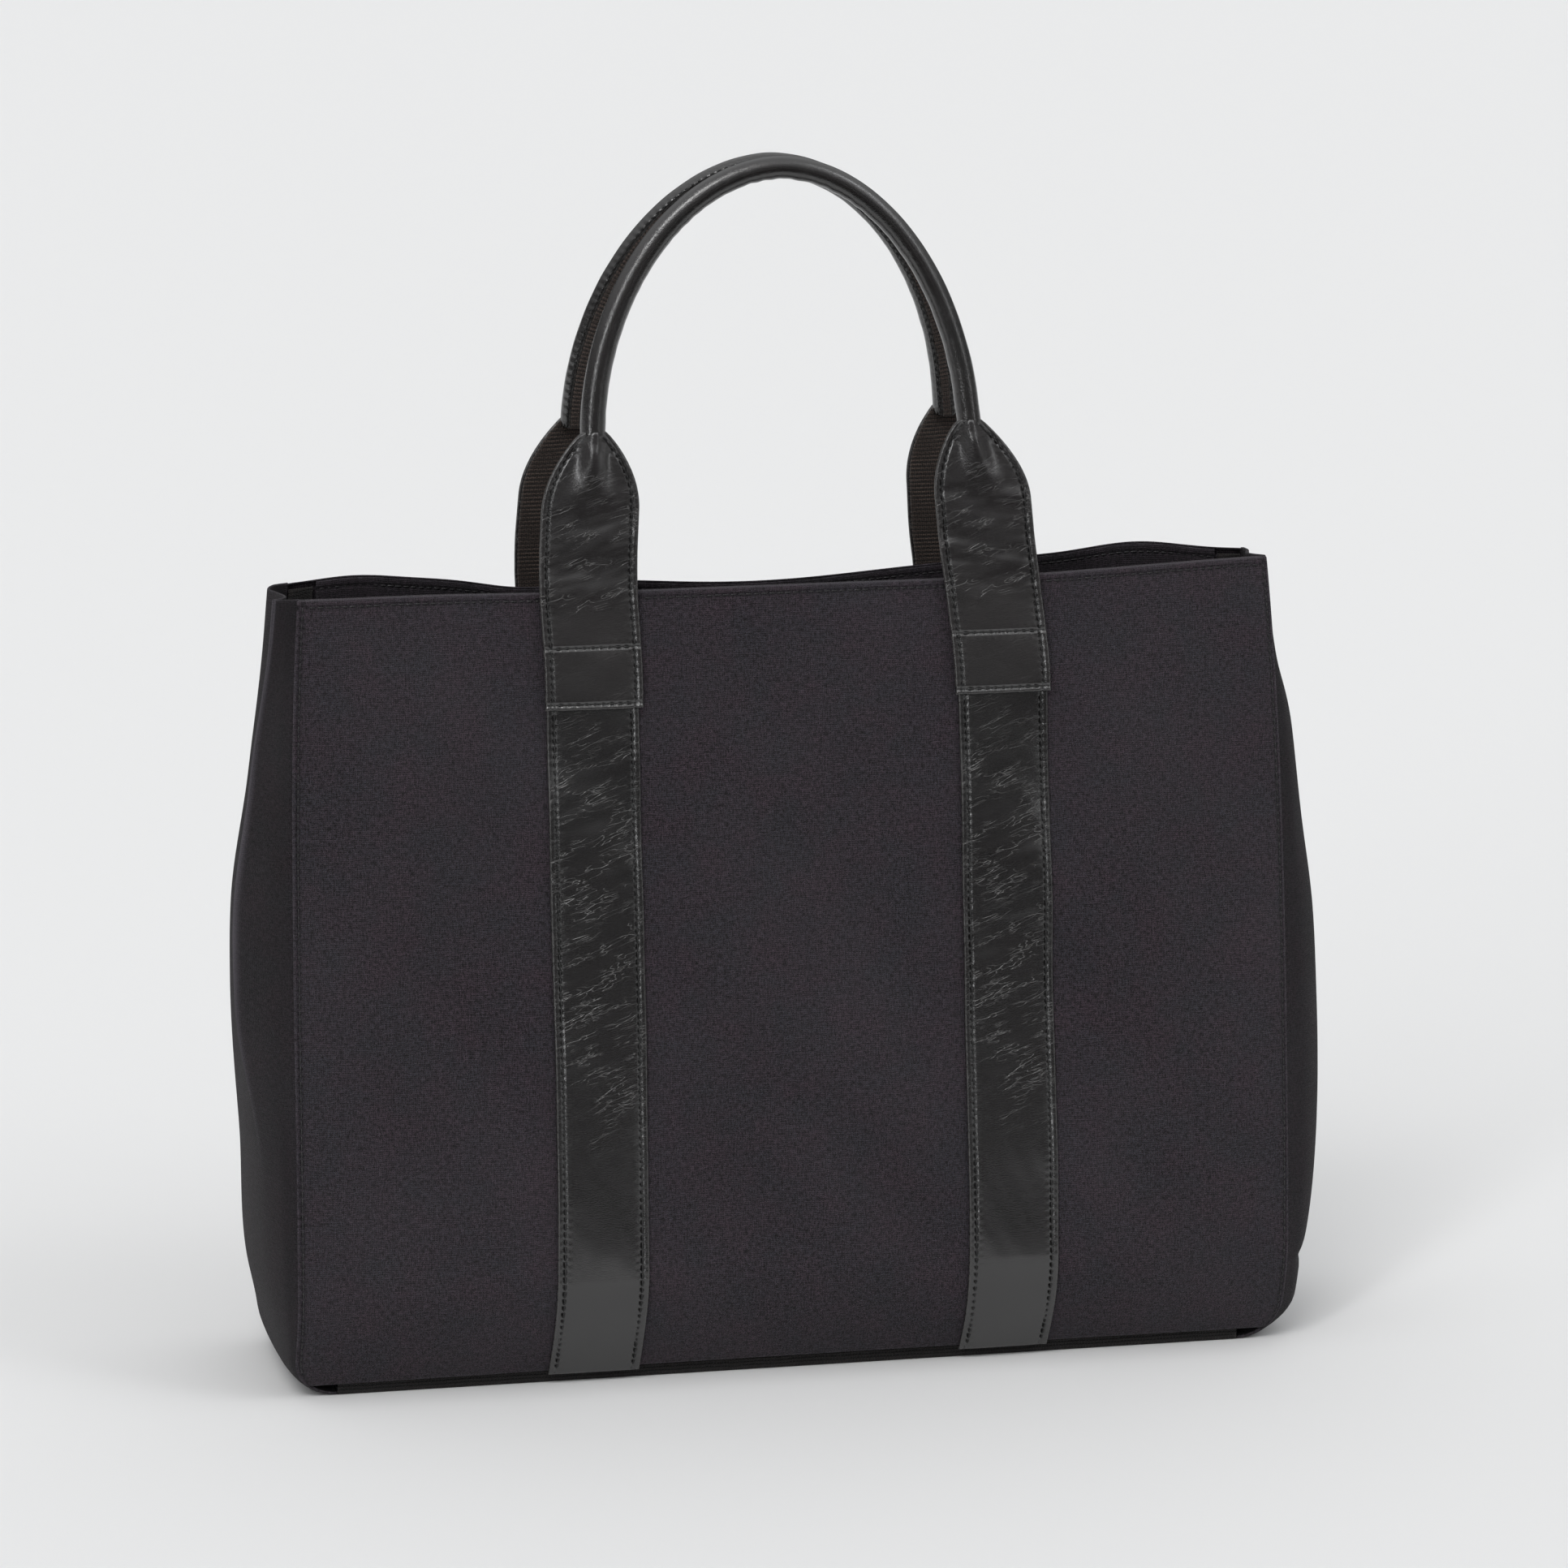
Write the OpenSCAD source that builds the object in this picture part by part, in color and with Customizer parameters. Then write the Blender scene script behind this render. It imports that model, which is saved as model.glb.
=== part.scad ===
// Canvas tote bag with leather straps and two rolled leather handles, in millimetres.
// +X is to the right seen from the front, -Y is out of the front and +Z is up.
// The origin is the middle of the base, on the surface that the bag stands on.

/* [Body] */
// Width of the front and back panels where they are widest, seam to seam
panel_w = 418; // [404:1:426]
// How much narrower than that each half of the mouth is
mouth_pinch = 5.5; // [0:0.5:8]
// Height of the mouth above the ground
body_h = 327; // [310:1:340]
// Depth of the base, front to back
base_d = 84; // [80:1:96]
// Depth of the body where it is fullest
belly_d = 124; // [118:1:130]
// Height of the fullest level
belly_z = 48; // [44:1:56]
// Depth of the mouth between the handles
mouth_d = 48; // [46:1:54]
// How much less deep each half of the body is at its side seams than in the middle
end_ease = 6; // [2:0.5:8]
// How far each gusset swells outwards at half height
gusset_swell = 19.5; // [10:0.5:22]
// How far each gusset swells outwards at the mouth
rim_swell = 5; // [2:0.5:8]
// Radius of the bottom corners of the panels
corner_r = 18; // [16:1:20]
// How far the middle of the back rim sags below the front one
back_rim_sag = 6; // [0:0.5:8]

/* [Cloth] */
// Thickness of the canvas
canvas_t = 1.2; // [1:0.1:1.4]
// Depth of the facing that is turned inside the mouth
facing_h = 25; // [20:1:30]
// Thickness of the facing and of the seam bindings
lining_t = 0.9; // [0.6:0.1:1]
// Width of the binding over each inside seam
binding_w = 10; // [8:1:12]
// Thickness of the stiffening board in the base
board_t = 2.5; // [2:0.5:3]

/* [Straps] */
// Distance from the middle of the bag to the middle of each strap, where the panel is widest
strap_x = 86.5; // [82:0.5:90]
// Width of the leather straps down the panels
strap_w = 38; // [34:1:40]
// Width of the leather tabs of the handles
tab_w = 40.5; // [38:0.5:42]
// Width of the woven webbing under the tabs
webbing_w = 38.5; // [34:0.5:40]
// Thickness of the leather
leather_t = 1.8; // [1.4:0.1:2]
// Thickness of the webbing
webbing_t = 1.6; // [1.2:0.1:1.8]
// How far each tab reaches down the panel
tab_drop = 46.5; // [42:0.5:55]
// How far the strap is tucked under the end of the tab
strap_tuck = 9; // [6:1:12]

/* [Handles] */
// Length of the straight part of a tab above the mouth
tab_straight = 36; // [32:1:38]
// Length of a tab above the mouth, up to the rolled grip
tab_rise = 62; // [58:1:64]
// Sideways lean of each tab, as a share of its height
tab_toe_in = 0.07; // [0.06:0.01:0.08]
// Height of the grip's middle line above the mouth, along the handle
grip_rise = 170; // [160:1:176]
// Thickness of the rolled grip
grip_d = 10.5; // [10:0.5:11]
// Width of the slot between the leather's edges along the grip
slot_w = 4.4; // [4:0.1:5]
// Space between the two grips where they lean together
grip_gap = 1.5; // [1:0.5:4]
// Space between the mouth and the moving part of a tab
hinge_gap = 2; // [1.5:0.5:3]

/* [Hidden] */
$fn = 48;

FRONT = 0;
BACK = 1;
LEFT = -1;
RIGHT = 1;

// Clear space between layers that are sewn together
layer_gap = 0.1;
// Clear space behind the facing and the bindings, whose flat steps are their own
lining_gap = 0.5;
// Clear space between the core and the leather rolled round it
core_gap = 0.25;
half_w = panel_w / 2;
// Share of the mouth's half width over which the back rim sags
sag_share = 0.75;
// The grip's arch is a superellipse with this exponent
arch_power = 1.9;
core_r = grip_d / 2 - leather_t;
// Middle of the grip, measured outwards from the inner face of the tabs
grip_offset = (leather_t + webbing_t) / 2;
handle_lean = asin((mouth_d / 2 + grip_offset - (grip_d + grip_gap) / 2) / grip_rise);

// Levels that all sheets of the body share: the corner's arc, then the sides
corner_angles = [0:15:90];
panel_start_angle = 45;
side_levels = 11;
function corner_z(a) = corner_r * (1 - cos(a));
welt_h = corner_z(panel_start_angle);
side_rows = [for (k = [1:side_levels])
    corner_r + (body_h - corner_r) * pow(k / side_levels, 1.3)];
panel_rows = concat([for (a = [panel_start_angle:15:90]) corner_z(a)], side_rows);
// Columns that all sheets of a panel share, closer together towards the seams
panel_cols = [for (k = [-6:6]) sin(90 * k / 6)];

// Share of its full width that a panel has at height z
function width_share(z) = 1 - mouth_pinch / half_w * pow(z / body_h, 5);
rim_strap_x = strap_x * width_share(body_h);
grip_half_w = rim_strap_x - tab_toe_in * tab_rise;

// Half the depth of the body at height z, in the middle and at the side seams
function mid_half_depth(z) =
    z < belly_z
        ? base_d / 2 + (belly_d - base_d) / 2 * sin(90 * z / belly_z)
        : belly_d / 2 - (belly_d - mouth_d) / 2 * pow((z - belly_z) / (body_h - belly_z), 1.1);
function end_half_depth(z) = mid_half_depth(z) - end_ease * min(1, z / belly_z);
function half_depth(x, z) =
    let (share = pow(min(1, abs(x) / half_w), 5))
    mid_half_depth(z) * (1 - share) + end_half_depth(z) * share;

// Half the width of a panel at height z, with its rounded bottom corners
function edge_x(z) =
    z < corner_r
        ? half_w - corner_r + sqrt(corner_r * corner_r - pow(corner_r - z, 2))
        : half_w * width_share(z);

// How far a point of a panel sinks where the rim sags by the given amount
function sag_at(x, z, sag) =
    sag * pow(max(0, 1 - pow(x / (sag_share * half_w), 2)), 2) * pow(z / body_h, 3);

// Point of the front panel at x and height z, out from its outer face by off
function panel_point(x, z, off, sag) =
    [x, -half_depth(x, z) - off, z - sag_at(x, z, sag)];

function between(values, low, high) =
    concat([low], [for (v = values) if (v > low + 1 && v < high - 1) v], [high]);

// Triangles of a sheet: outer grid of points first, then the inner grid.
// Rows run upwards, and columns run to the right seen from outside.
function sheet_faces(rows, cols) =
    let (n = rows * cols, top = (rows - 1) * cols, last = cols - 1)
    concat(
        [for (r = [0:rows - 2], c = [0:cols - 2])
            let (i = r * cols + c)
            each [
                [i, i + cols, i + cols + 1], [i, i + cols + 1, i + 1],
                [n + i, n + i + cols + 1, n + i + cols], [n + i, n + i + 1, n + i + cols + 1]
            ]],
        [for (c = [0:cols - 2])
            let (j = top + c)
            each [
                [c, c + 1, n + c + 1], [c, n + c + 1, n + c],
                [j + 1, j, n + j], [j + 1, n + j, n + j + 1]
            ]],
        [for (r = [0:rows - 2])
            let (i = r * cols, k = r * cols + last)
            each [
                [i + cols, i, n + i], [i + cols, n + i, n + i + cols],
                [k, k + cols, n + k + cols], [k, n + k + cols, n + k]
            ]]
    );

// Solid between two grids of points
module sheet(outer, inner) {
    polyhedron(
        points = concat([for (row = outer) each row], [for (row = inner) each row]),
        faces = sheet_faces(len(outer), len(outer[0]))
    );
}

module on_side(side) {
    if (side == BACK) mirror([0, 1, 0]) children();
    else children();
}

function sag_of(side) = side == BACK ? back_rim_sag : 0;

// Strip that follows a panel from height z0 to z1, from off_in to off_out outside its face.
// It spans x0 to x1 from a line x_mid that narrows with the panel.
module panel_strip(side, x_mid, x0, x1, z0, z1, off_in, off_out) {
    zs = between(panel_rows, z0, z1);
    xs = between([for (c = panel_cols) c * half_w - x_mid], x0, x1);
    function layer(off) = [for (z = zs)
        [for (x = xs) panel_point(x_mid * width_share(z) + x, z, off, sag_of(side))]];
    on_side(side) sheet(layer(off_out), layer(off_in));
}

// Strip of a given width, centred on one of the two straps
module strap_strip(side, hand, w, z0, z1, off_in, off_out) {
    panel_strip(side, hand * strap_x, -w / 2, w / 2, z0, z1, off_in, off_out);
}

// ---- Canvas body ----

module panel(side) {
    function layer(off) = [for (z = panel_rows)
        [for (c = panel_cols) panel_point(c * edge_x(z), z, off, sag_of(side))]];
    color("#2f2c31") on_side(side) sheet(layer(0), layer(-canvas_t));
}

// Swell of a gusset at height z, t from -1 at the front seam to 1 at the back seam
function swell(z, t) =
    let (side_swell = gusset_swell * pow(sin(180 * pow(z / body_h, 0.8)), 1.1))
    (side_swell + rim_swell * pow(z / body_h, 6)) * pow(1 - t * t, 0.75);

// Point of the right gusset on the seam line's level: corner arc below, upright above
function gusset_point(level, t, off) =
    let (
        a = level[0],
        z = level[1],
        reach = swell(z, t) + off,
        x = a < 90 ? half_w - corner_r + corner_r * sin(a) : edge_x(z)
    )
    [
        x + reach * sin(a),
        t * (end_half_depth(z) - canvas_t - layer_gap),
        z - reach * cos(a)
    ];

module gusset(hand) {
    levels = concat([for (a = corner_angles) [a, corner_z(a)]], [for (z = side_rows) [90, z]]);
    ts = [for (k = [-4:4]) sin(90 * k / 4)];
    function layer(off) = [for (level = levels) [for (t = ts) gusset_point(level, t, off)]];
    color("#2c292d")
        mirror([hand == LEFT ? 1 : 0, 0, 0])
            sheet(layer(0), layer(-canvas_t));
}

module rounded_plate(w, d, t, r) {
    linear_extrude(t) {
        square([w - 2 * r, d], center = true);
        square([w, d - 2 * r], center = true);
        for (x = [-1, 1], y = [-1, 1])
            translate([x * (w / 2 - r), y * (d / 2 - r)]) circle(r);
    }
}

base_w = panel_w - 2 * corner_r;
welt_t = 1.6;

module base_panel() {
    w = base_w - 2 * layer_gap;
    d = base_d - 2 * (welt_t + layer_gap);
    color("#2c292d") translate([-w / 2, -d / 2, 0]) cube([w, d, canvas_t]);
}

module base_board() {
    inset = 3;
    color("#1c1b1d")
        translate([0, 0, canvas_t + layer_gap])
            rounded_plate(base_w - inset, base_d - 2 * (welt_t + inset), board_t, 6);
}

// Dark welt that shows as a narrow recess under the bottom edge of a panel
module base_welt(side) {
    color("#17120f")
        on_side(side)
            translate([-base_w / 2, -base_d / 2, 0])
                cube([base_w, welt_t, welt_h - layer_gap]);
}

inside = -canvas_t - lining_gap;
// Distance of a binding's outer edge from the side seam
binding_inset = canvas_t + 0.5;

module facing(side) {
    x = half_w * width_share(body_h) - binding_inset - binding_w - 1;
    color("#2c292d")
        panel_strip(side, 0, -x, x, body_h - facing_h, body_h - 0.5, inside - lining_t, inside);
}

module seam_binding(side, hand) {
    far = binding_inset + binding_w;
    x0 = hand == LEFT ? binding_inset : -far;
    color("#1d1a1b")
        panel_strip(side, hand * half_w, x0, x0 + binding_w,
            corner_r + 2, body_h - 2, inside - lining_t, inside);
}

// ---- Straps and the parts of the tabs that are sewn down ----

strap_in = layer_gap;
strap_out = layer_gap + webbing_t;
tab_in = strap_out + layer_gap;
tab_out = tab_in + leather_t;
tab_end_z = body_h - tab_drop;
strap_top_z = tab_end_z + strap_tuck;

module strap(side, hand) {
    color("#2d2c2e")
        strap_strip(side, hand, strap_w, welt_h, strap_top_z, strap_in, strap_out);
}

module tab_anchor(side, hand) {
    color("#333133")
        strap_strip(side, hand, tab_w, tab_end_z, body_h, tab_in, tab_out);
}

module webbing_anchor(side, hand) {
    color("#1d1714")
        strap_strip(side, hand, webbing_w, strap_top_z + 1, body_h, strap_in, strap_out);
}

// ---- Handles ----

// Places a handle's own frame: its plane leans inwards from the mouth, -Y stays outwards
module handle_frame(side) {
    on_side(side)
        translate([0, -mouth_d / 2, body_h])
            rotate([-handle_lean, 0, 0])
                children();
}

function tab_half_w(u, w) =
    u < tab_straight
        ? w / 2
        : grip_d / 2 + (w - grip_d) / 2 * cos(90 * (u - tab_straight) / (tab_rise - tab_straight));
function tab_middle(u, hand) = hand * (rim_strap_x - tab_toe_in * u);

// Tab above the mouth: straight sides, then round shoulders up to the grip
module tab_plate(hand, w, t) {
    steps = 8;
    us = concat([hinge_gap],
        [for (k = [0:steps]) tab_straight + (tab_rise - tab_straight) * k / steps]);
    n = len(us) - 1;
    rotate([90, 0, 0])
        linear_extrude(t)
            polygon(concat(
                [for (k = [0:n]) [tab_middle(us[k], hand) - tab_half_w(us[k], w), us[k]]],
                [for (k = [n:-1:0]) [tab_middle(us[k], hand) + tab_half_w(us[k], w), us[k]]]
            ));
}

module tab_leather(side, hand) {
    color("#333133")
        handle_frame(side)
            translate([0, -tab_in, 0])
                tab_plate(hand, tab_w, leather_t);
}

module tab_webbing(side, hand) {
    color("#1d1714")
        handle_frame(side)
            translate([0, -strap_in, 0])
                tab_plate(hand, webbing_w, webbing_t);
}

// The grip's middle line, a from 180 at the left tab to 0 at the right tab
function arch(a) =
    let (c = cos(a), s = max(0, sin(a)), p = 2 / arch_power)
    [
        grip_half_w * sign(c) * pow(abs(c), p),
        tab_rise + layer_gap + (grip_rise - tab_rise) * pow(s, p)
    ];
function arch_direction(a) =
    let (d = arch(max(0, a - 1)) - arch(min(180, a + 1)))
    a == 180 ? [0, 1] : a == 0 ? [0, -1] : d / norm(d);

// Sweeps a closed section along the grip. A section point is [away from the arch's middle, inwards].
module along_grip(side, section) {
    n = len(section);
    angles = [for (a = [180:-6:0]) a];
    points = [for (a = angles) let (p = arch(a), d = arch_direction(a))
        for (s = section) [p[0] - d[1] * s[0], s[1] - grip_offset, p[1] + d[0] * s[0]]];
    sides = [for (r = [0:len(angles) - 2], k = [0:n - 1])
        let (i = r * n + k, j = r * n + (k + 1) % n)
        each [[i, i + n, j + n], [i, j + n, j]]];
    first_cap = [for (k = [0:n - 1]) k];
    last_cap = [for (k = [n - 1:-1:0]) (len(angles) - 1) * n + k];
    handle_frame(side) polyhedron(points = points, faces = concat([first_cap, last_cap], sides));
}

function arc_points(r, from, to, steps) =
    [for (k = [0:steps]) let (a = from + (to - from) * k / steps) [r * sin(a), r * cos(a)]];

// Leather rolled round the core, open along the side that faces the other handle
module grip_leather(side) {
    slot_angle = asin(slot_w / grip_d);
    inner_r = core_r + core_gap;
    color("#3a383a")
        along_grip(side, concat(
            arc_points(grip_d / 2, slot_angle, 360 - slot_angle, 11),
            arc_points(inner_r, 360 - slot_angle, slot_angle, 11)
        ));
}

// Webbing that shows between the leather's edges
module grip_webbing(side) {
    half = slot_w / 2 - 0.6;
    low = core_r + core_gap;
    high = grip_d / 2 - 0.4;
    color("#1d1714")
        along_grip(side, [[-half, low], [-half, high], [half, high], [half, low]]);
}

module grip_core(side) {
    color("#4a4640") along_grip(side, arc_points(core_r, 0, 324, 9));
}

panel(FRONT);  // front_panel
panel(BACK);  // back_panel
gusset(LEFT);  // left_gusset
gusset(RIGHT);  // right_gusset
base_panel();
base_board();
base_welt(FRONT);  // front_base_welt
base_welt(BACK);  // back_base_welt
facing(FRONT);  // front_facing
facing(BACK);  // back_facing
seam_binding(FRONT, LEFT);  // front_left_seam_binding
seam_binding(FRONT, RIGHT);  // front_right_seam_binding
seam_binding(BACK, LEFT);  // back_left_seam_binding
seam_binding(BACK, RIGHT);  // back_right_seam_binding
strap(FRONT, LEFT);  // front_left_strap
strap(FRONT, RIGHT);  // front_right_strap
strap(BACK, LEFT);  // back_left_strap
strap(BACK, RIGHT);  // back_right_strap
tab_anchor(FRONT, LEFT);  // front_left_tab_anchor
tab_anchor(FRONT, RIGHT);  // front_right_tab_anchor
tab_anchor(BACK, LEFT);  // back_left_tab_anchor
tab_anchor(BACK, RIGHT);  // back_right_tab_anchor
webbing_anchor(FRONT, LEFT);  // front_left_webbing_anchor
webbing_anchor(FRONT, RIGHT);  // front_right_webbing_anchor
webbing_anchor(BACK, LEFT);  // back_left_webbing_anchor
webbing_anchor(BACK, RIGHT);  // back_right_webbing_anchor
tab_leather(FRONT, LEFT);  // front_left_tab
tab_leather(FRONT, RIGHT);  // front_right_tab
tab_leather(BACK, LEFT);  // back_left_tab
tab_leather(BACK, RIGHT);  // back_right_tab
tab_webbing(FRONT, LEFT);  // front_left_tab_webbing
tab_webbing(FRONT, RIGHT);  // front_right_tab_webbing
tab_webbing(BACK, LEFT);  // back_left_tab_webbing
tab_webbing(BACK, RIGHT);  // back_right_tab_webbing
grip_leather(FRONT);  // front_grip_leather
grip_leather(BACK);  // back_grip_leather
grip_webbing(FRONT);  // front_grip_webbing
grip_webbing(BACK);  // back_grip_webbing
grip_core(FRONT);  // front_grip_core
grip_core(BACK);  // back_grip_core
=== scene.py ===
"""Canvas tote bag: the soft shapes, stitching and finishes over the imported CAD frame, in metres."""
import functools
import math

import bpy
import numpy as np
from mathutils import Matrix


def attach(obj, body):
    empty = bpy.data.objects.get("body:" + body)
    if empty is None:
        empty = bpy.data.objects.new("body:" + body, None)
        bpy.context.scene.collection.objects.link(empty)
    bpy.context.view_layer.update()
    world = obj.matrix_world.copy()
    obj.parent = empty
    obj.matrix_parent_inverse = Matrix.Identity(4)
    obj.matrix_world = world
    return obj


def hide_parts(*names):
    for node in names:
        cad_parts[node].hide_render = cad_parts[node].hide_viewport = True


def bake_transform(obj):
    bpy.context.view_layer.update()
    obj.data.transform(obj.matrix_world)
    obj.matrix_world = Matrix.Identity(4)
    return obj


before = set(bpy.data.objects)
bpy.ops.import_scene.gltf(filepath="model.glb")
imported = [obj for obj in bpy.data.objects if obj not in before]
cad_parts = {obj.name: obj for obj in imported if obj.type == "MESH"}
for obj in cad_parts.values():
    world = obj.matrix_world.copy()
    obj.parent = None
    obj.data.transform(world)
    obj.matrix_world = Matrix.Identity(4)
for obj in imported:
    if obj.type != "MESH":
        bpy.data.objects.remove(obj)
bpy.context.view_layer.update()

# ---- Sizes shared with the CAD model ----
HALF_W = 0.209
MOUTH_PINCH = 0.0055
BODY_H = 0.327
BASE_D = 0.084
BELLY_D = 0.124
BELLY_Z = 0.048
MOUTH_D = 0.048
END_EASE = 0.006
CORNER_R = 0.018
CANVAS_T = 0.0012
FACING_H = 0.025
LINING_T = 0.0009
LINING_GAP = 0.0005
BINDING_W = 0.010
LAYER_GAP = 0.0001
WELT_T = 0.0016
WELT_H = CORNER_R * (1 - math.cos(math.radians(45)))
BASE_W = 2 * (HALF_W - CORNER_R)
STRAP_X = 0.0865
STRAP_W = 0.038
TAB_W = 0.0405
WEBBING_W = 0.0385
LEATHER_T = 0.0018
WEBBING_T = 0.0016
TAB_DROP = 0.0465
STRAP_TUCK = 0.009
TAB_STRAIGHT = 0.036
TAB_RISE = 0.062
TAB_TOP = 0.0655
TAB_TOE_IN = 0.07
GRIP_RISE = 0.170
GRIP_R = 0.00525
GRIP_GAP = 0.0015
SLOT_W = 0.0044
CORE_R = GRIP_R - LEATHER_T
CORE_GAP = 0.00025
SLOT_ANGLE = math.asin(SLOT_W / 2 / GRIP_R)
ROLL_HALF = GRIP_R * (math.pi - SLOT_ANGLE)
ARCH_POWER = 1.9
GRIP_OFFSET = (LEATHER_T + WEBBING_T) / 2
HANDLE_LEAN = math.asin((MOUTH_D / 2 + GRIP_OFFSET - GRIP_R - GRIP_GAP / 2) / GRIP_RISE)
TAB_IN = WEBBING_T + 2 * LAYER_GAP

# ---- Sizes of the sewing ----
STITCH_PITCH = 0.0032
SEAM_STITCH_INSET = 0.0022
HEM_STITCH_INSET = 0.0034
HEM_LEVEL = BODY_H - HEM_STITCH_INSET
LINING_HEM_LEVEL = HEM_LEVEL - 0.001
LEATHER_STITCH_INSET = 0.0030
GRIP_STITCH_INSET = 0.0018
GRIP_PITCH = 0.0030
HEM_R = 0.0015
RIB_PITCH = 0.0017
# How far below the mouth the two rows of stitches across each tab are
ROW_DROPS = (0.0442, 0.0215)

FRONT, BACK = -1, 1
LEFT, RIGHT = -1, 1
SIDE_NAMES = {FRONT: "front", BACK: "back"}
HAND_NAMES = {LEFT: "left", RIGHT: "right"}
QUARTERS = {(side, hand): f"{SIDE_NAMES[side]}_{HAND_NAMES[hand]}"
            for side in (FRONT, BACK) for hand in (LEFT, RIGHT)}


# ---- Helpers ----

def show(name, data):
    """New object in the scene."""
    thing = bpy.data.objects.new(name, data)
    bpy.context.scene.collection.objects.link(thing)
    return thing


class Nodes:
    """Short way to add and link the nodes of one tree."""

    def __init__(self, tree):
        self.tree = tree

    def add(self, kind, values=None, **settings):
        node = self.tree.nodes.new(kind)
        for key, value in settings.items():
            setattr(node, key, value)
        for key, value in (values or {}).items():
            self.feed(node.inputs[key], value)
        return node

    def one(self, kind, values=None, **settings):
        """Add a node and give its first output."""
        return self.add(kind, values, **settings).outputs[0]

    def feed(self, socket, value):
        if isinstance(value, bpy.types.NodeSocket):
            self.tree.links.new(value, socket)
        else:
            socket.default_value = value

    def math(self, operation, a, b=None):
        values = {0: a} if b is None else {0: a, 1: b}
        return self.one("ShaderNodeMath", values, operation=operation)

    def times(self, a, b):
        return self.math("MULTIPLY", a, b)

    def plus(self, a, b):
        return self.math("ADD", a, b)

    def minus(self, a, b):
        return self.math("SUBTRACT", a, b)

    def most(self, a, b):
        return self.math("MAXIMUM", a, b)

    def plain(self, a):
        """The value without its sign."""
        return self.math("ABSOLUTE", a)

    def cosine(self, value, turn):
        return self.math("COSINE", self.times(value, turn))

    def split(self, vector):
        return self.add("ShaderNodeSeparateXYZ", {0: vector}).outputs

    def attribute(self, name):
        return self.add("ShaderNodeAttribute", attribute_name=name).outputs["Fac"]

    def mix(self, share, a, b):
        return self.add("ShaderNodeMix", {0: share, 6: a, 7: b}, data_type="RGBA").outputs[2]

    def span(self, value, low, high, to_low=0.0, to_high=1.0):
        return self.one("ShaderNodeMapRange", {0: value, 1: low, 2: high, 3: to_low, 4: to_high})

    def stretch(self, vector, scale, turn=0.0):
        return self.one("ShaderNodeMapping", {"Vector": vector, "Scale": scale, "Rotation": (0, 0, turn)})

    def noise(self, vector, scale, detail=3.0, roughness=0.55):
        return self.one("ShaderNodeTexNoise", {
            "Vector": vector, "Scale": scale, "Detail": detail, "Roughness": roughness,
        })


# ---- Camera, floor and light ----

def add_camera():
    """Looks at the bag from in front, a little from its left and from above."""
    azimuth, elevation = math.radians(-12.1), math.radians(12.0)
    distance = 2.861
    target = (0.0003, 0.0, 0.2388)
    data = bpy.data.cameras.new("studio_camera")
    data.sensor_width = 36
    data.lens = 158.4
    data.clip_end = 60
    camera = show("studio_camera", data)
    level = distance * math.cos(elevation)
    camera.location = (
        target[0] + level * math.sin(azimuth),
        target[1] - level * math.cos(azimuth),
        target[2] + distance * math.sin(elevation),
    )
    camera.rotation_euler = (math.pi / 2 - elevation, 0, azimuth)
    bpy.context.scene.camera = camera


def add_sun(name, azimuth, elevation, spread, power, tint):
    """Distant soft light. Azimuth 0 shines from in front of the bag and 90 from its right."""
    data = bpy.data.lights.new(name, "SUN")
    data.energy = power
    data.angle = math.radians(spread)
    data.color = tint
    show(name, data).rotation_euler = (math.radians(90 - elevation), 0, math.radians(azimuth))


def add_strip(n, way, glow, azimuth, half_width, power):
    """Add a tall soft light, as bright as power, standing at an azimuth round the bag."""
    cos, sin = math.cos(math.radians(azimuth)), math.sin(math.radians(azimuth))
    mask = None
    # Each side of the light: a direction, and where along it the light is out and where it is full
    for axis, low, high in (((cos, sin, 0), half_width, 0.7 * half_width),
                            ((-cos, -sin, 0), half_width, 0.7 * half_width),
                            ((-sin, cos, 0), 0.1, 0.0), ((0, 0, 1), 0.0, 0.08), ((0, 0, 1), 0.86, 0.78)):
        along = n.add("ShaderNodeVectorMath", {0: way, 1: axis}, operation="DOT_PRODUCT").outputs["Value"]
        share = n.span(along, low, high, 0.0, power if mask is None else 1.0)
        mask = share if mask is None else n.times(mask, share)
    return n.plus(glow, mask)


def add_world():
    """Studio air that is dim at the level of the bag and bright overhead."""
    world = bpy.data.worlds.new("studio_air")
    world.use_nodes = True
    n = Nodes(world.node_tree)
    way = n.add("ShaderNodeTexCoord").outputs["Generated"]
    glow = n.span(n.split(way)["Z"], 0.12, 0.75, 0.09, 0.95)
    for azimuth, half_width, power in ((-38, 0.075, 6.5), (50, 0.10, 2.2)):
        glow = add_strip(n, way, glow, azimuth, half_width, power)
    air = world.node_tree.nodes["Background"]
    n.feed(air.inputs["Strength"], glow)
    n.feed(air.inputs["Color"], (0.98, 0.99, 1.0, 1))
    bpy.context.scene.world = world


def add_ground(name, near, far, half_width, height, shade):
    """Flat grey ground from y = near to y = far."""
    mesh = bpy.data.meshes.new(name)
    corners = ((-half_width, near), (half_width, near), (half_width, far), (-half_width, far))
    mesh.from_pydata([(x, y, height) for x, y in corners], [], [(0, 1, 2, 3)])
    paint = bpy.data.materials.new(name)
    paint.use_nodes = True
    shader = paint.node_tree.nodes["Principled BSDF"]
    shader.inputs["Base Color"].default_value = (shade, shade, shade, 1)
    shader.inputs["Roughness"].default_value = 0.9
    shader.inputs["Specular IOR Level"].default_value = 0.1
    mesh.materials.append(paint)
    ground = show(name, mesh)
    return ground


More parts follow.
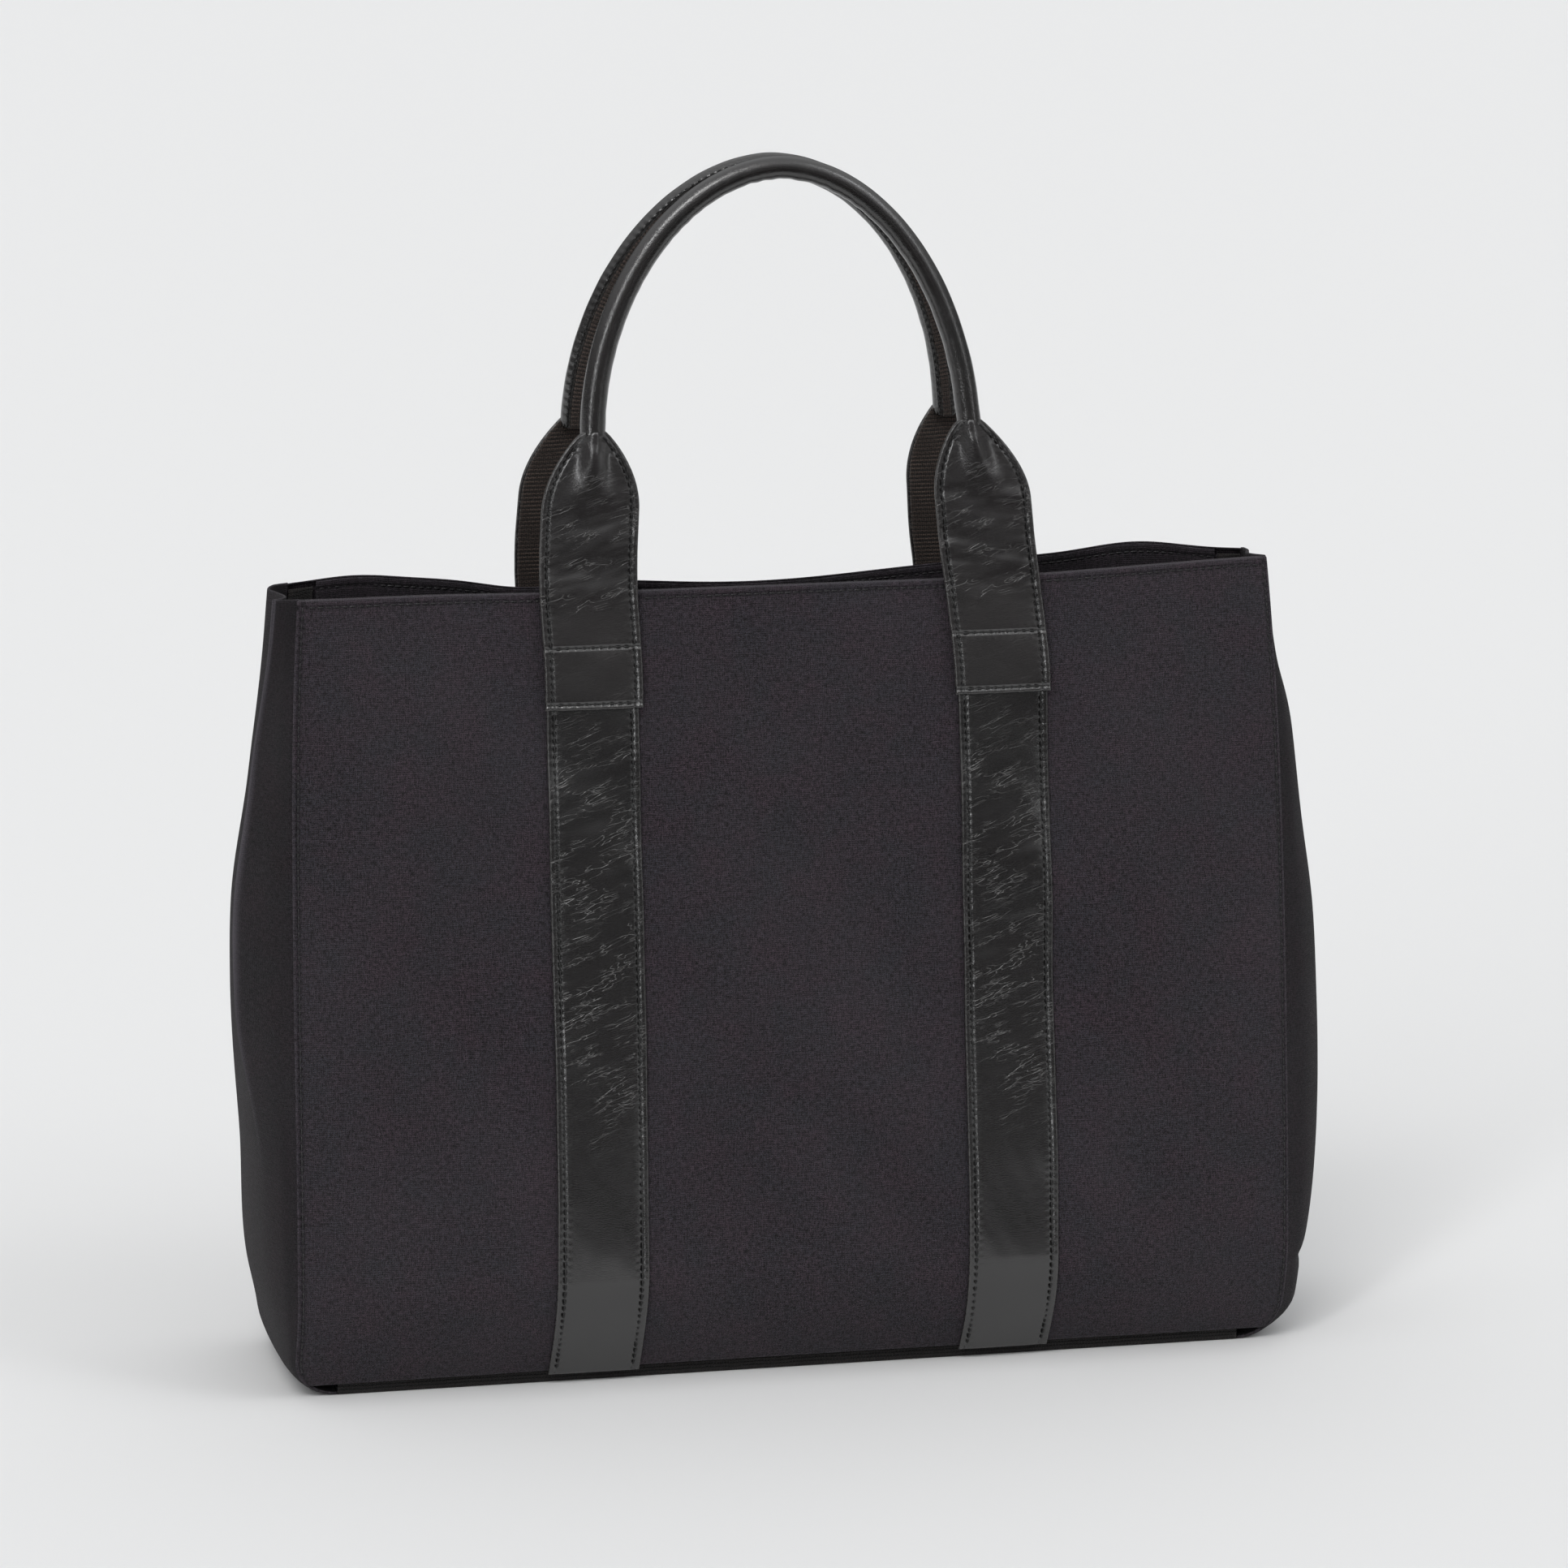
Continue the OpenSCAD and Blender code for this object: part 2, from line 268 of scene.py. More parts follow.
def add_studio():
    scene = bpy.context.scene
    scene.view_settings.view_transform = "Standard"
    add_world()
    add_sun("key_softbox", -24, 50, 20, 0.62, (1.0, 0.985, 0.97))
    add_sun("side_softbox", 62, 40, 14, 0.16, (0.97, 0.985, 1.0))

    add_ground("studio_floor", -30, 30, 30, 0, 0.765)
    room = add_ground("dark_room_floor", -9, -0.55, 6, 0.002, 0.03)
    # It only shows as a reflection in the leather, and the pale floor under it stays lit
    room.visible_camera = False
    room.visible_diffuse = False
    room.visible_shadow = False


# ---- Shapes ----

def smooth(low, high, value):
    """0 below low, 1 above high and an even turn between them."""
    share = np.clip((value - low) / (high - low), 0, 1)
    return share * share * (3 - 2 * share)


def hump(middle, width, value):
    return np.exp(-(((value - middle) / width) ** 2))


def ripples(seed, size, x, y):
    """Soft uneven surface between about -1 and 1, whose humps are about size apart."""
    random = np.random.default_rng(seed)
    total = 0
    for _ in range(10):
        way = random.uniform(0, 2 * math.pi)
        turn = 2 * math.pi / size * random.uniform(0.5, 1.5)
        start = random.uniform(0, 2 * math.pi)
        total = total + np.sin((x * math.cos(way) + y * math.sin(way)) * turn + start)
    return total / 4.5


def through(points, value):
    """Smooth curve through a few (place, height) points."""
    places, heights = np.array(points, float).T
    slopes = np.gradient(heights, places)
    value = np.clip(value, places[0], places[-1])
    k = np.clip(np.searchsorted(places, value) - 1, 0, len(places) - 2)
    gap = places[k + 1] - places[k]
    t = (value - places[k]) / gap
    rise = heights[k] * (1 + 2 * t) * (1 - t) ** 2 + heights[k + 1] * t * t * (3 - 2 * t)
    return rise + gap * t * (1 - t) * (slopes[k] * (1 - t) - slopes[k + 1] * t)


def width_share(z):
    return 1 - MOUTH_PINCH / HALF_W * (z / BODY_H) ** 5


def edge_x(z):
    below = CORNER_R - np.minimum(z, CORNER_R)
    arc = HALF_W - CORNER_R + np.sqrt(np.maximum(0, CORNER_R**2 - below**2))
    return np.where(z < CORNER_R, arc, HALF_W * width_share(z))


def mid_half_depth(z):
    low = BASE_D / 2 + (BELLY_D - BASE_D) / 2 * np.sin(math.pi / 2 * np.clip(z / BELLY_Z, 0, 1))
    rise = np.clip((z - BELLY_Z) / (BODY_H - BELLY_Z), 0, 1.2)
    return np.where(z < BELLY_Z, low, BELLY_D / 2 - (BELLY_D - MOUTH_D) / 2 * rise**1.1)


def end_half_depth(z):
    return mid_half_depth(z) - END_EASE * np.clip(z / BELLY_Z, 0, 1)


def half_depth(x, z):
    share = np.clip(np.abs(x) / HALF_W, 0, 1) ** 5
    return mid_half_depth(z) * (1 - share) + end_half_depth(z) * share


def lean_x(x, z):
    """The bag stands a little askew: its lower part and its side seams sit towards its left."""
    low = np.clip(1 - z / BODY_H, 0, 1)
    left = np.clip(-x / HALF_W, 0, 1) ** 4
    right = np.clip(x / HALF_W, 0, 1) ** 4
    return x - 0.003 * low**2 - left * (0.001 + 0.0018 * low) - right * 0.0022


def rim_wave(side, x):
    """How far the rim stands above or below its level at x."""
    if side == FRONT:
        return 0.0005 + 0.0010 * hump(-0.150, 0.045, x) + 0.0034 * smooth(0.07, 0.20, x)
    middle = -0.0070 * hump(-0.010, 0.075, x) - 0.0045 * hump(-0.105, 0.025, x)
    return 0.0010 + middle + 0.0025 * hump(-0.175, 0.022, x) + 0.0042 * hump(0.156, 0.027, x)


def belly(side, x, z):
    """Slack of the cloth: broad soft folds that die out at the rim, the base and the seams."""
    free = smooth(0.0, 0.05, z) * (1 - smooth(0.25, 0.32, z))
    free = free * (1 - np.clip(np.abs(x) / HALF_W, 0, 1) ** 6)
    broad = 0.0019 * ripples(11 + side, 0.15, x, z)
    loose = 1 - 0.75 * hump(STRAP_X, 0.026, np.abs(x))
    slanting = 0.0023 * loose * ripples(21 + side, 0.055, x + 0.6 * z, 0.35 * (z - 0.6 * x))
    mouth = 0.0012 * hump(0.29, 0.035, z) * np.sin(x / 0.042 + side) * (1 - smooth(0.10, 0.2, np.abs(x)))
    return free * (broad + slanting) + mouth * smooth(0.05, 0.1, BODY_H - z + 0.05)


def on_panel(side, x, z, off, rim=1.0):
    """Point of a panel at x and height z, out from its outer face by off."""
    depth = half_depth(x, z) + belly(side, x, z) + off
    lift = rim * rim_wave(side, x) * np.clip(z / BODY_H, 0, 1.1) ** 7
    return np.stack([lean_x(x, z), side * depth, z + lift], axis=-1)


# ---- Sheets ----

def steps(low, high, step, rounding):
    """Places from low to high about a step apart, closer at both ends where the edge is round."""
    ends = rounding * np.array([0, 0.08, 0.3, 0.62])
    count = max(2, int(round((high - low - 2 * rounding) / step)) + 1)
    middle = np.linspace(low + rounding, high - rounding, count)
    return np.concatenate([low + ends, middle, (high - ends)[::-1]])


def make_object(name, points, faces, finish, uv, values=None):
    mesh = bpy.data.meshes.new(name)
    mesh.from_pydata(points.tolist(), [], faces)
    mesh.shade_smooth()
    corners = np.empty(len(mesh.loops), dtype=np.int32)
    mesh.loops.foreach_get("vertex_index", corners)
    layer = mesh.uv_layers.new(name="UVMap")
    layer.data.foreach_set("uv", uv[corners].astype(np.float32).ravel())
    for key, value in (values or {}).items():
        attribute = mesh.attributes.new(key, "FLOAT", "POINT")
        attribute.data.foreach_set("value", value.astype(np.float32))
    mesh.materials.append(finish)
    return show(name, mesh)


def sheet(name, finish, place, half, low, high, base, thick,
          step=0.0025, across=None, turned=False, bent=None):
    """Closed sheet with round edges, from v = low to v = high. place(x, v, off) gives its points: x across
    it, v along it and off outwards. half(v) is its half width, base its inner face and thick its thickness.
    turned flips its faces, and bent(x, v) says how creased it is."""
    rounding = thick / 2
    v = steps(low, high, step, rounding)
    widest = float(np.max(half(v)))
    s = steps(-widest, widest, across or step, rounding) / widest
    V, S = np.meshgrid(v, s, indexing="ij")
    X = S * half(V)
    edge = np.minimum.reduce([(1 - np.abs(S)) * half(V), V - low, high - V])
    edge[0], edge[-1], edge[:, 0], edge[:, -1] = 0, 0, 0, 0
    full = 0.5 + 0.5 * np.sqrt(1 - (1 - np.clip(edge / rounding, 0, 1)) ** 2)
    outer = place(X, V, base + thick * full).reshape(-1, 3)
    inner = place(X, V, base + thick * (1 - full)).reshape(-1, 3)

    rows, cols = V.shape
    index = np.arange(rows * cols).reshape(rows, cols)
    under = index + rows * cols
    under[0], under[-1], under[:, 0], under[:, -1] = index[0], index[-1], index[:, 0], index[:, -1]
    quads = [np.stack([g[:-1, :-1], g[:-1, 1:], g[1:, 1:], g[1:, :-1]], axis=-1).reshape(-1, 4)
             for g in (index, under)]
    quads[0 if turned else 1] = quads[0 if turned else 1][:, ::-1]
    faces = np.concatenate(quads)
    used, faces = np.unique(faces, return_inverse=True)
    faces = faces.reshape(-1, 4)
    points = np.concatenate([outer, inner])[used]
    uv = np.tile(np.stack([X, V], axis=-1).reshape(-1, 2), (2, 1))[used]
    side = (1 - np.abs(S)) * half(V)
    values = {"edge": np.tile(edge.ravel(), 2)[used], "side": np.tile(side.ravel(), 2)[used]}
    if bent is not None:
        values["bent"] = np.tile(bent(X, V).ravel(), 2)[used]
    return make_object(name, points, faces.tolist(), finish, uv, values)


def even(half):
    """Half width of a sheet that is equally wide all along."""
    return lambda v: half + 0 * v


def settle(piece, body, nodes):
    """Hands a piece over to the frame: it rides on a body and stands for its CAD nodes."""
    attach(piece, body)
    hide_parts(*nodes)


def settle_across(piece, nodes):
    """For a piece that bends at the mouth, where a handle folds: it rides on no body, keeps its place and
    stands for its CAD nodes.
    """
    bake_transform(piece)
    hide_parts(*nodes)


# ---- Material building ----

def darker(shade, share):
    return tuple(share * c for c in shade[:3]) + (1,)


def start_group(name, inputs, outputs):
    """Empty shader group. An input is name: default, a number or a vector."""
    group = bpy.data.node_groups.new(name, "ShaderNodeTree")
    for key, value in inputs.items():
        kind = "NodeSocketVector" if value is None else "NodeSocketFloat"
        socket = group.interface.new_socket(key, in_out="INPUT", socket_type=kind)
        if value is not None:
            socket.default_value = value
    for key in outputs:
        group.interface.new_socket(key, in_out="OUTPUT", socket_type="NodeSocketFloat")
    nodes = Nodes(group)
    return group, nodes, nodes.add("NodeGroupInput").outputs, nodes.add("NodeGroupOutput").inputs


def weave_group():
    """Threads that pass over and under each other, with slubs. The pattern is in metres on the sheet."""
    inputs = {"Place": None, "Across": 1400.0, "Along": 1400.0, "Slub": 0.5}
    group, n, given, out = start_group("woven_threads", inputs, ["Height", "Thread", "Slubs"])
    flat = n.one("ShaderNodeVectorMath", {0: given["Place"], 1: (1, 1, 0)}, operation="MULTIPLY")
    x, y, _ = n.split(flat)
    shift = n.times(n.noise(flat, 90.0, 2.0), 0.0022)
    u = n.times(n.plus(x, shift), given["Across"])
    v = n.times(n.plus(y, shift), given["Along"])
    wave_u = n.math("SINE", n.times(u, math.pi))
    wave_v = n.math("SINE", n.times(v, math.pi))
    over = n.span(n.times(wave_u, wave_v), -0.7, 0.7)
    warp = n.plain(n.cosine(u, math.pi))
    weft = n.plain(n.cosine(v, math.pi))
    under = n.minus(1.0, over)
    raised = n.plus(n.times(warp, over), n.times(weft, under))
    slub_u = n.noise(n.stretch(flat, (1500, 400, 1)), 1.0, 2.0)
    slub_v = n.noise(n.stretch(flat, (400, 1500, 1)), 1.0, 2.0)
    slubs = n.plus(n.times(slub_u, over), n.times(slub_v, under))
    height = n.plus(raised, n.times(slubs, given["Slub"]))
    n.feed(out["Height"], height)
    n.feed(out["Thread"], over)
    n.feed(out["Slubs"], slubs)
    return group


def grain_group():
    """Leather grain: fine pores, and thin slanting creases where the piece has been bent. Its Creases output
    is the mask of the painted highlight along the creases.
    """
    group, n, given, out = start_group(
        "leather_grain", {"Place": None, "Creases": 1.0, "Slant": 0.4}, ["Height", "Creases", "Blotches"])
    pores = n.add("ShaderNodeTexVoronoi", {"Vector": given["Place"], "Scale": 1300.0},
                  feature="DISTANCE_TO_EDGE").outputs["Distance"]
    fine = n.noise(given["Place"], 2600.0, 2.0)
    slant = n.times(given["Slant"], -1.0)
    turned = n.one("ShaderNodeVectorRotate", {"Vector": given["Place"], "Angle": slant},
                   rotation_type="Z_AXIS")
    lines = 0.0
    for across, along, width in ((34.0, 170.0, 0.008), (75.0, 300.0, 0.010)):
        field = n.noise(n.stretch(turned, (across, along, 1)), 1.0, 2.0, 0.6)
        away = n.plain(n.minus(field, 0.5))
        lines = n.most(n.span(away, 0.0, width, 1.0, 0.0), lines)
    where = n.span(n.noise(n.stretch(turned, (50, 130, 1)), 1.0, 2.0), 0.46, 0.60)
    crease = n.times(n.times(lines, where), given["Creases"])
    rough = n.plus(n.times(n.span(pores, 0.0, 0.12), 0.30), n.times(fine, 0.25))
    n.feed(out["Height"], n.minus(rough, n.times(crease, 1.2)))
    n.feed(out["Creases"], crease)
    n.feed(out["Blotches"], n.noise(given["Place"], 22.0, 4.0))
    return group


def pucker_group():
    """Dimples along a straight row of stitches, and the mask of the painted shade along the row and in its
    holes. Away is the distance from it, Run the place along it.
    """
    group, n, given, out = start_group(
        "stitch_puckers", {"Away": 1.0, "Run": 0.0, "Pitch": STITCH_PITCH}, ["Height", "Line"])
    away = n.plain(given["Away"])
    line = n.span(away, 0.0003, 0.0012, 1.0, 0.0)
    wide = n.span(away, 0.0, 0.0035, 1.0, 0.0)
    along = n.cosine(given["Run"], n.math("DIVIDE", 2 * math.pi, given["Pitch"]))
    n.feed(out["Height"], n.minus(n.times(n.times(wide, along), 0.25), line))
    hole_shade = n.span(along, -1.0, 0.2, 1.0, 0.30)
    n.feed(out["Line"], n.times(line, hole_shade))
    return group


def wear_group():
    """Where a piece is rubbed pale: along its edges, broken up by noise, and in soft patches of dust."""
    inputs = {"Place": None, "Edge": 1.0, "Width": 0.001}
    group, n, given, out = start_group("edge_wear", inputs, ["Worn", "Dust"])
    near = n.minus(1.0, n.math("DIVIDE", given["Edge"], given["Width"]))
    broken = n.span(n.noise(given["Place"], 420.0, 4.0), 0.35, 0.65)
    n.feed(out["Worn"], n.times(n.most(near, 0.0), broken))
    n.feed(out["Dust"], n.span(n.noise(given["Place"], 9.0, 5.0), 0.35, 0.75))
    return group


WEAVE = weave_group()
GRAIN = grain_group()
PUCKERS = pucker_group()
WEAR = wear_group()


def start_finish(name, coordinates="UV"):
    """New material with its shader, and the place that its patterns read."""
    finish = bpy.data.materials.new(name)
    finish.use_nodes = True
    n = Nodes(finish.node_tree)
    shader = finish.node_tree.nodes["Principled BSDF"]
    place = n.add("ShaderNodeTexCoord").outputs[coordinates]
    return finish, n, shader, place


def use(n, group, **values):
    node = n.add("ShaderNodeGroup")
    node.node_tree = group
    for key, value in values.items():
        n.feed(node.inputs[key], value)
    return node.outputs


def paint(n, shader, shade, roughness):
    n.feed(shader.inputs["Base Color"], shade)
    n.feed(shader.inputs["Roughness"], roughness)


def bumps(n, shader, height, depth, strength=1.0, below=None):
    node = n.add("ShaderNodeBump", {"Height": height, "Distance": depth, "Strength": strength})
    if below is not None:
        n.feed(node.inputs["Normal"], below)
    n.feed(shader.inputs["Normal"], node.outputs[0])


def stitch_marks(n, place, side_inset, levels):
    """Height of the rows of stitches beside the long edges and across at some levels, and the mask of the
    painted shade along them.
    """
    split = n.split(place)
    side = n.attribute("side")
    rows = [use(n, PUCKERS, Away=n.minus(side, side_inset), Run=split[1])]
    for level in levels:
        rows.append(use(n, PUCKERS, Away=n.minus(split[1], level), Run=split[0]))
    height, line = rows[0]["Height"], rows[0]["Line"]
    for row in rows[1:]:
        height = n.plus(height, row["Height"])
        line = n.most(line, row["Line"])
    return height, line


def canvas_finish(name, warp, weft, stitch_inset, levels=(), rim_highlight_level=1.0):
    """Dark cotton canvas: two thread colours, slubs, faint streaks, mottled dye and puckered seams, with
    painted shade between the threads and along the stitches, and painted highlights along the rim and the
    left gusset's fold.
    """
    finish, n, shader, place = start_finish(name)
    weave = use(n, WEAVE, Place=place, Across=1380.0, Along=1240.0, Slub=0.9)
    wear = use(n, WEAR, Place=place, Edge=n.attribute("edge"), Width=0.0012)
    pucker, line = stitch_marks(n, place, stitch_inset, levels)
    dye = n.span(n.noise(place, 38.0, 5.0, 0.7), 0.38, 0.62)
    thread = n.mix(weave["Thread"], warp, weft)
    mottled = n.mix(n.times(dye, 0.55), thread, (1.35 * warp[0], 0.95 * warp[1], 1.12 * warp[2], 1))
    dark = n.mix(n.span(weave["Slubs"], 0.36, 0.60), darker(warp, 0.18), mottled)
    # The low places of the weave, between the threads, are painted darker: painted shade.
    gap_shaded = n.mix(n.span(weave["Height"], 0.55, 1.0), darker(warp, 0.15), dark)
    pale = n.mix(n.times(wear["Dust"], 0.20), gap_shaded, (0.062, 0.056, 0.064, 1))
    # The bent attribute carries the crest of the left gusset's fold, which is painted pale below: a painted
    # highlight.
    ridge = n.attribute("bent")
    height = n.split(place)[1]
    # A thin pale line along the crest of the rolled hem: a painted highlight.
    rim = n.span(n.plain(n.minus(height, rim_highlight_level)), 0.0003, 0.0013, 1.0, 0.0)
    rubbed = n.times(n.most(wear["Worn"], rim), 0.45)
    # Pale where the edges are really worn, and along the rim and the left gusset's fold as painted
    # highlights.
    worn = n.mix(n.most(rubbed, ridge), pale, (0.085, 0.078, 0.090, 1))
    # Painted shade along the rows of stitches and in their holes.
    sewn = n.mix(n.times(line, 0.75), worn, (0.006, 0.005, 0.007, 1))
    paint(n, shader, sewn, n.span(weave["Slubs"], 0.3, 0.7, 0.95, 0.80))
    shader.inputs["Specular IOR Level"].default_value = 0.25
    shader.inputs["Sheen Weight"].default_value = 0.04
    shader.inputs["Sheen Roughness"].default_value = 0.45
    seam = n.one("ShaderNodeBump", {"Height": pucker, "Distance": 0.0006, "Strength": 1.0})
    bumps(n, shader, weave["Height"], 0.00030, 1.0, seam)
    return finish


def leather_finish(name, shade, creases, gloss, side_inset=LEATHER_STITCH_INSET, levels=()):
    """Black leather with grain, creases with a painted highlight along them, a soft polish, rubbed edges and
    painted shade along its stitches.
    """
    finish, n, shader, place = start_finish(name)
    bent = n.attribute("bent")
    grain = use(n, GRAIN, Place=place, Creases=n.times(bent, creases), Slant=0.36)
    wear = use(n, WEAR, Place=place, Edge=n.attribute("edge"), Width=0.0009)
    pucker, line = stitch_marks(n, place, side_inset, levels)
    deep = darker(shade, 0.55)
    skin = n.mix(n.span(grain["Blotches"], 0.35, 0.68), deep, shade)
    # The crease lines are real relief, and are also painted paler: a painted highlight along them.
    creased = n.mix(n.times(grain["Creases"], 0.4), skin, (0.075, 0.070, 0.064, 1))
    worn = n.mix(n.times(wear["Worn"], 0.55), creased, (0.075, 0.071, 0.068, 1))
    # Painted shade along the rows of stitches and in their holes.
    sewn = n.mix(n.times(line, 0.95), worn, (0.0015, 0.0015, 0.0015, 1))
    polish = n.span(grain["Blotches"], 0.3, 0.7, gloss + 0.08, gloss - 0.03)
    paint(n, shader, sewn, n.plus(polish, n.times(wear["Worn"], 0.2)))
    shader.inputs["Specular IOR Level"].default_value = 1.0
    pressed = n.one("ShaderNodeBump", {"Height": pucker, "Distance": 0.0004, "Strength": 1.0})
    bumps(n, shader, grain["Height"], 0.00007, 0.8, pressed)
    return finish


def webbing_finish(name, shade, across, along):
    """Ribbed webbing: strong ribs across it, fine threads along it, with painted shade in the grooves between
    the ribs and between the threads.
    """
    finish, n, shader, place = start_finish(name)
    weave = use(n, WEAVE, Place=place, Across=across, Along=along, Slub=0.4)
    wear = use(n, WEAR, Place=place, Edge=n.attribute("edge"), Width=0.0015)
    deep = darker(shade, 0.2)
    run = n.split(place)[1]
    rib = n.plain(n.cosine(run, math.pi * along))
    # The low places between the threads are painted darker: painted shade.
    threads = n.mix(n.span(weave["Height"], 0.5, 1.25), deep, shade)
    # The grooves between the ribs are painted nearly black: painted shade.
    threads = n.mix(n.span(rib, 0.25, 0.75), darker(shade, 0.06), threads)
    fuzzy = n.mix(n.times(wear["Worn"], 0.35), threads, (0.060, 0.050, 0.045, 1))
    paint(n, shader, fuzzy, n.span(weave["Slubs"], 0.3, 0.7, 0.9, 0.7))
    shader.inputs["Specular IOR Level"].default_value = 0.3
    shader.inputs["Sheen Weight"].default_value = 0.1
    bumps(n, shader, weave["Height"], 0.0005, 1.0)
    return finish


def thread_finish(name, shade, gloss):
    """Waxed sewing thread with its twist."""
    finish, n, shader, place = start_finish(name, "Object")
    twist = n.add("ShaderNodeTexWave", {"Vector": place, "Scale": 900.0, "Distortion": 1.5},
                  bands_direction="DIAGONAL").outputs["Fac"]
    fade = n.span(n.noise(place, 60.0, 3.0), 0.35, 0.7)
    dark = darker(shade, 0.45)
    paint(n, shader, n.mix(n.times(twist, fade), dark, shade), n.span(twist, 0.0, 1.0, gloss + 0.15, gloss))
    bumps(n, shader, twist, 0.00008, 0.7)
    return finish


def board_finish():
    """Matt moulded sheet with a fine texture and scuffs."""
    finish, n, shader, place = start_finish("board_sheet", "Object")
    texture = n.noise(place, 1800.0, 2.0)
    scuffs = n.span(n.noise(n.stretch(place, (8, 90, 1), 0.5), 3.0, 5.0), 0.55, 0.75)
    sheet_shade = n.mix(scuffs, (0.014, 0.014, 0.015, 1), (0.035, 0.034, 0.034, 1))
    paint(n, shader, sheet_shade, n.span(scuffs, 0.0, 1.0, 0.55, 0.75))
    bumps(n, shader, texture, 0.0001, 0.6)
    return finish


def cord_finish():
    """Undyed twisted cotton cord."""
    finish, n, shader, place = start_finish("cotton_cord")
    strands = n.add("ShaderNodeTexWave", {"Vector": n.stretch(place, (1, 0.5, 1)), "Scale": 420.0,
                                          "Distortion": 2.0}, bands_direction="DIAGONAL").outputs["Fac"]
    paint(n, shader, n.mix(strands, (0.10, 0.09, 0.07, 1), (0.26, 0.23, 0.19, 1)), 0.9)
    bumps(n, shader, strands, 0.0004, 0.8)
    return finish


PANEL_CANVAS = canvas_finish("panel_canvas", (0.041, 0.0335, 0.039, 1), (0.030, 0.031, 0.042, 1),
                             SEAM_STITCH_INSET, [HEM_LEVEL], BODY_H)
# A row of stitches this far outside a sheet's edge leaves no mark on it
NO_ROW = -0.01
# The gussets are the panels' canvas painted much darker: painted shade for the sides of the bag, which face
# away from the light.
SHADED_GUSSET_CANVAS = canvas_finish("gusset_canvas", (0.0195, 0.0160, 0.0185, 1), (0.0160, 0.0150, 0.0190, 1),
                              NO_ROW)
LINING_CANVAS = canvas_finish("lining_canvas", (0.028, 0.024, 0.029, 1), (0.022, 0.021, 0.026, 1), NO_ROW,
                              [LINING_HEM_LEVEL])
STRAP_LEATHER = leather_finish("strap_leather", (0.0098, 0.0086, 0.0086, 1), 1.0, 0.20)
TAB_LEATHER = leather_finish("tab_leather", (0.0185, 0.0165, 0.0165, 1), 1.0, 0.18,
                             levels=[-drop for drop in ROW_DROPS])
GRIP_LEATHER = leather_finish("grip_leather", (0.0105, 0.0090, 0.0086, 1), 0.3, 0.15, GRIP_STITCH_INSET)
WEBBING = webbing_finish("brown_webbing", (0.072, 0.050, 0.041, 1), 1100.0, 1 / RIB_PITCH)
TAPE = webbing_finish("binding_tape", (0.016, 0.013, 0.013, 1), 1400.0, 700.0)
DARK_THREAD = thread_finish("dark_thread", (0.014, 0.012, 0.014, 1), 0.36)
LEATHER_THREAD = thread_finish("leather_thread", (0.010, 0.009, 0.009, 1), 0.30)
BOARD = board_finish()
CORD = cord_finish()


# ---- Canvas body ----

def panel_place(side):
    """Front or back panel: its top edge is turned over into a round hem."""
    top = BODY_H - HEM_R

    def place(x, v, off):
        turn = np.clip((v - top) / HEM_R, 0, 2.6)
        z = np.minimum(v, top)
        lift = 0.0009 * (1 - np.clip(x / 0.2, -1, 1) ** 2) * (1 - smooth(WELT_H, 0.03, z))
        rolled = (HEM_R + off) * np.cos(turn) - HEM_R
        seam = 0.0007 * (1 - smooth(0.0, 0.0035, edge_x(z) - np.abs(x)))
        points = on_panel(side, x, z + lift, rolled - seam)
        points[..., 2] += (HEM_R + off) * np.sin(turn)
        return points

    return place


def make_panel(side):
    name = SIDE_NAMES[side] + "_panel"
    piece = sheet(name + "_canvas", PANEL_CANVAS, panel_place(side), lambda v: edge_x(np.minimum(v, BODY_H)),
                  WELT_H, BODY_H - HEM_R + 2.6 * HEM_R, -CANVAS_T, CANVAS_T, turned=side == BACK)
    settle(piece, "root", [name])


GUSSET_HALF = float(mid_half_depth(np.array(BELLY_Z)))
# How far each gusset reaches out from its seams at a few heights
REACH = {
    LEFT: [(0, 0.003), (0.018, 0.005), (0.045, 0.0110), (0.10, 0.0148), (0.165, 0.0198),
           (0.20, 0.0195), (0.25, 0.0138), (0.30, 0.0097), (0.327, 0.0090)],
    RIGHT: [(0, 0.004), (0.010, 0.0095), (0.035, 0.0128), (0.050, 0.0162), (0.125, 0.0212),
            (0.18, 0.0190), (0.22, 0.0142), (0.26, 0.0096), (0.294, 0.0058), (0.327, 0.0030)],
}
# Cross-sections of the gussets, front seam to back seam: (share of the reach, share of the half depth)
ROUND_SECTION = [(0, -1), (0.45, -0.92), (0.80, -0.70), (0.95, -0.38),
                 (1.0, 0.0), (0.95, 0.38), (0.68, 0.78), (0, 1)]
CREASED_SECTION = [(0, -1), (0.52, -0.80), (1.01, -0.48), (0.90, -0.37),
                   (0.91, 0.0), (0.94, 0.40), (0.66, 0.78), (0, 1)]
# The same at the mouth, where the cloth folds in and out: (metres out, share of the half depth)
RIM_SECTION = {
    LEFT: [(0, -1), (0.0045, -1.0), (0.0082, -0.92), (0.0044, -0.58),
           (0.0062, -0.1), (0.0088, 0.35), (0.0060, 0.80), (0, 1)],
    RIGHT: [(0, -1), (-0.0012, -0.85), (-0.0034, -0.55), (-0.0042, -0.28),
            (-0.0024, 0.1), (-0.0004, 0.44), (0.0002, 0.85), (0, 1)],
}


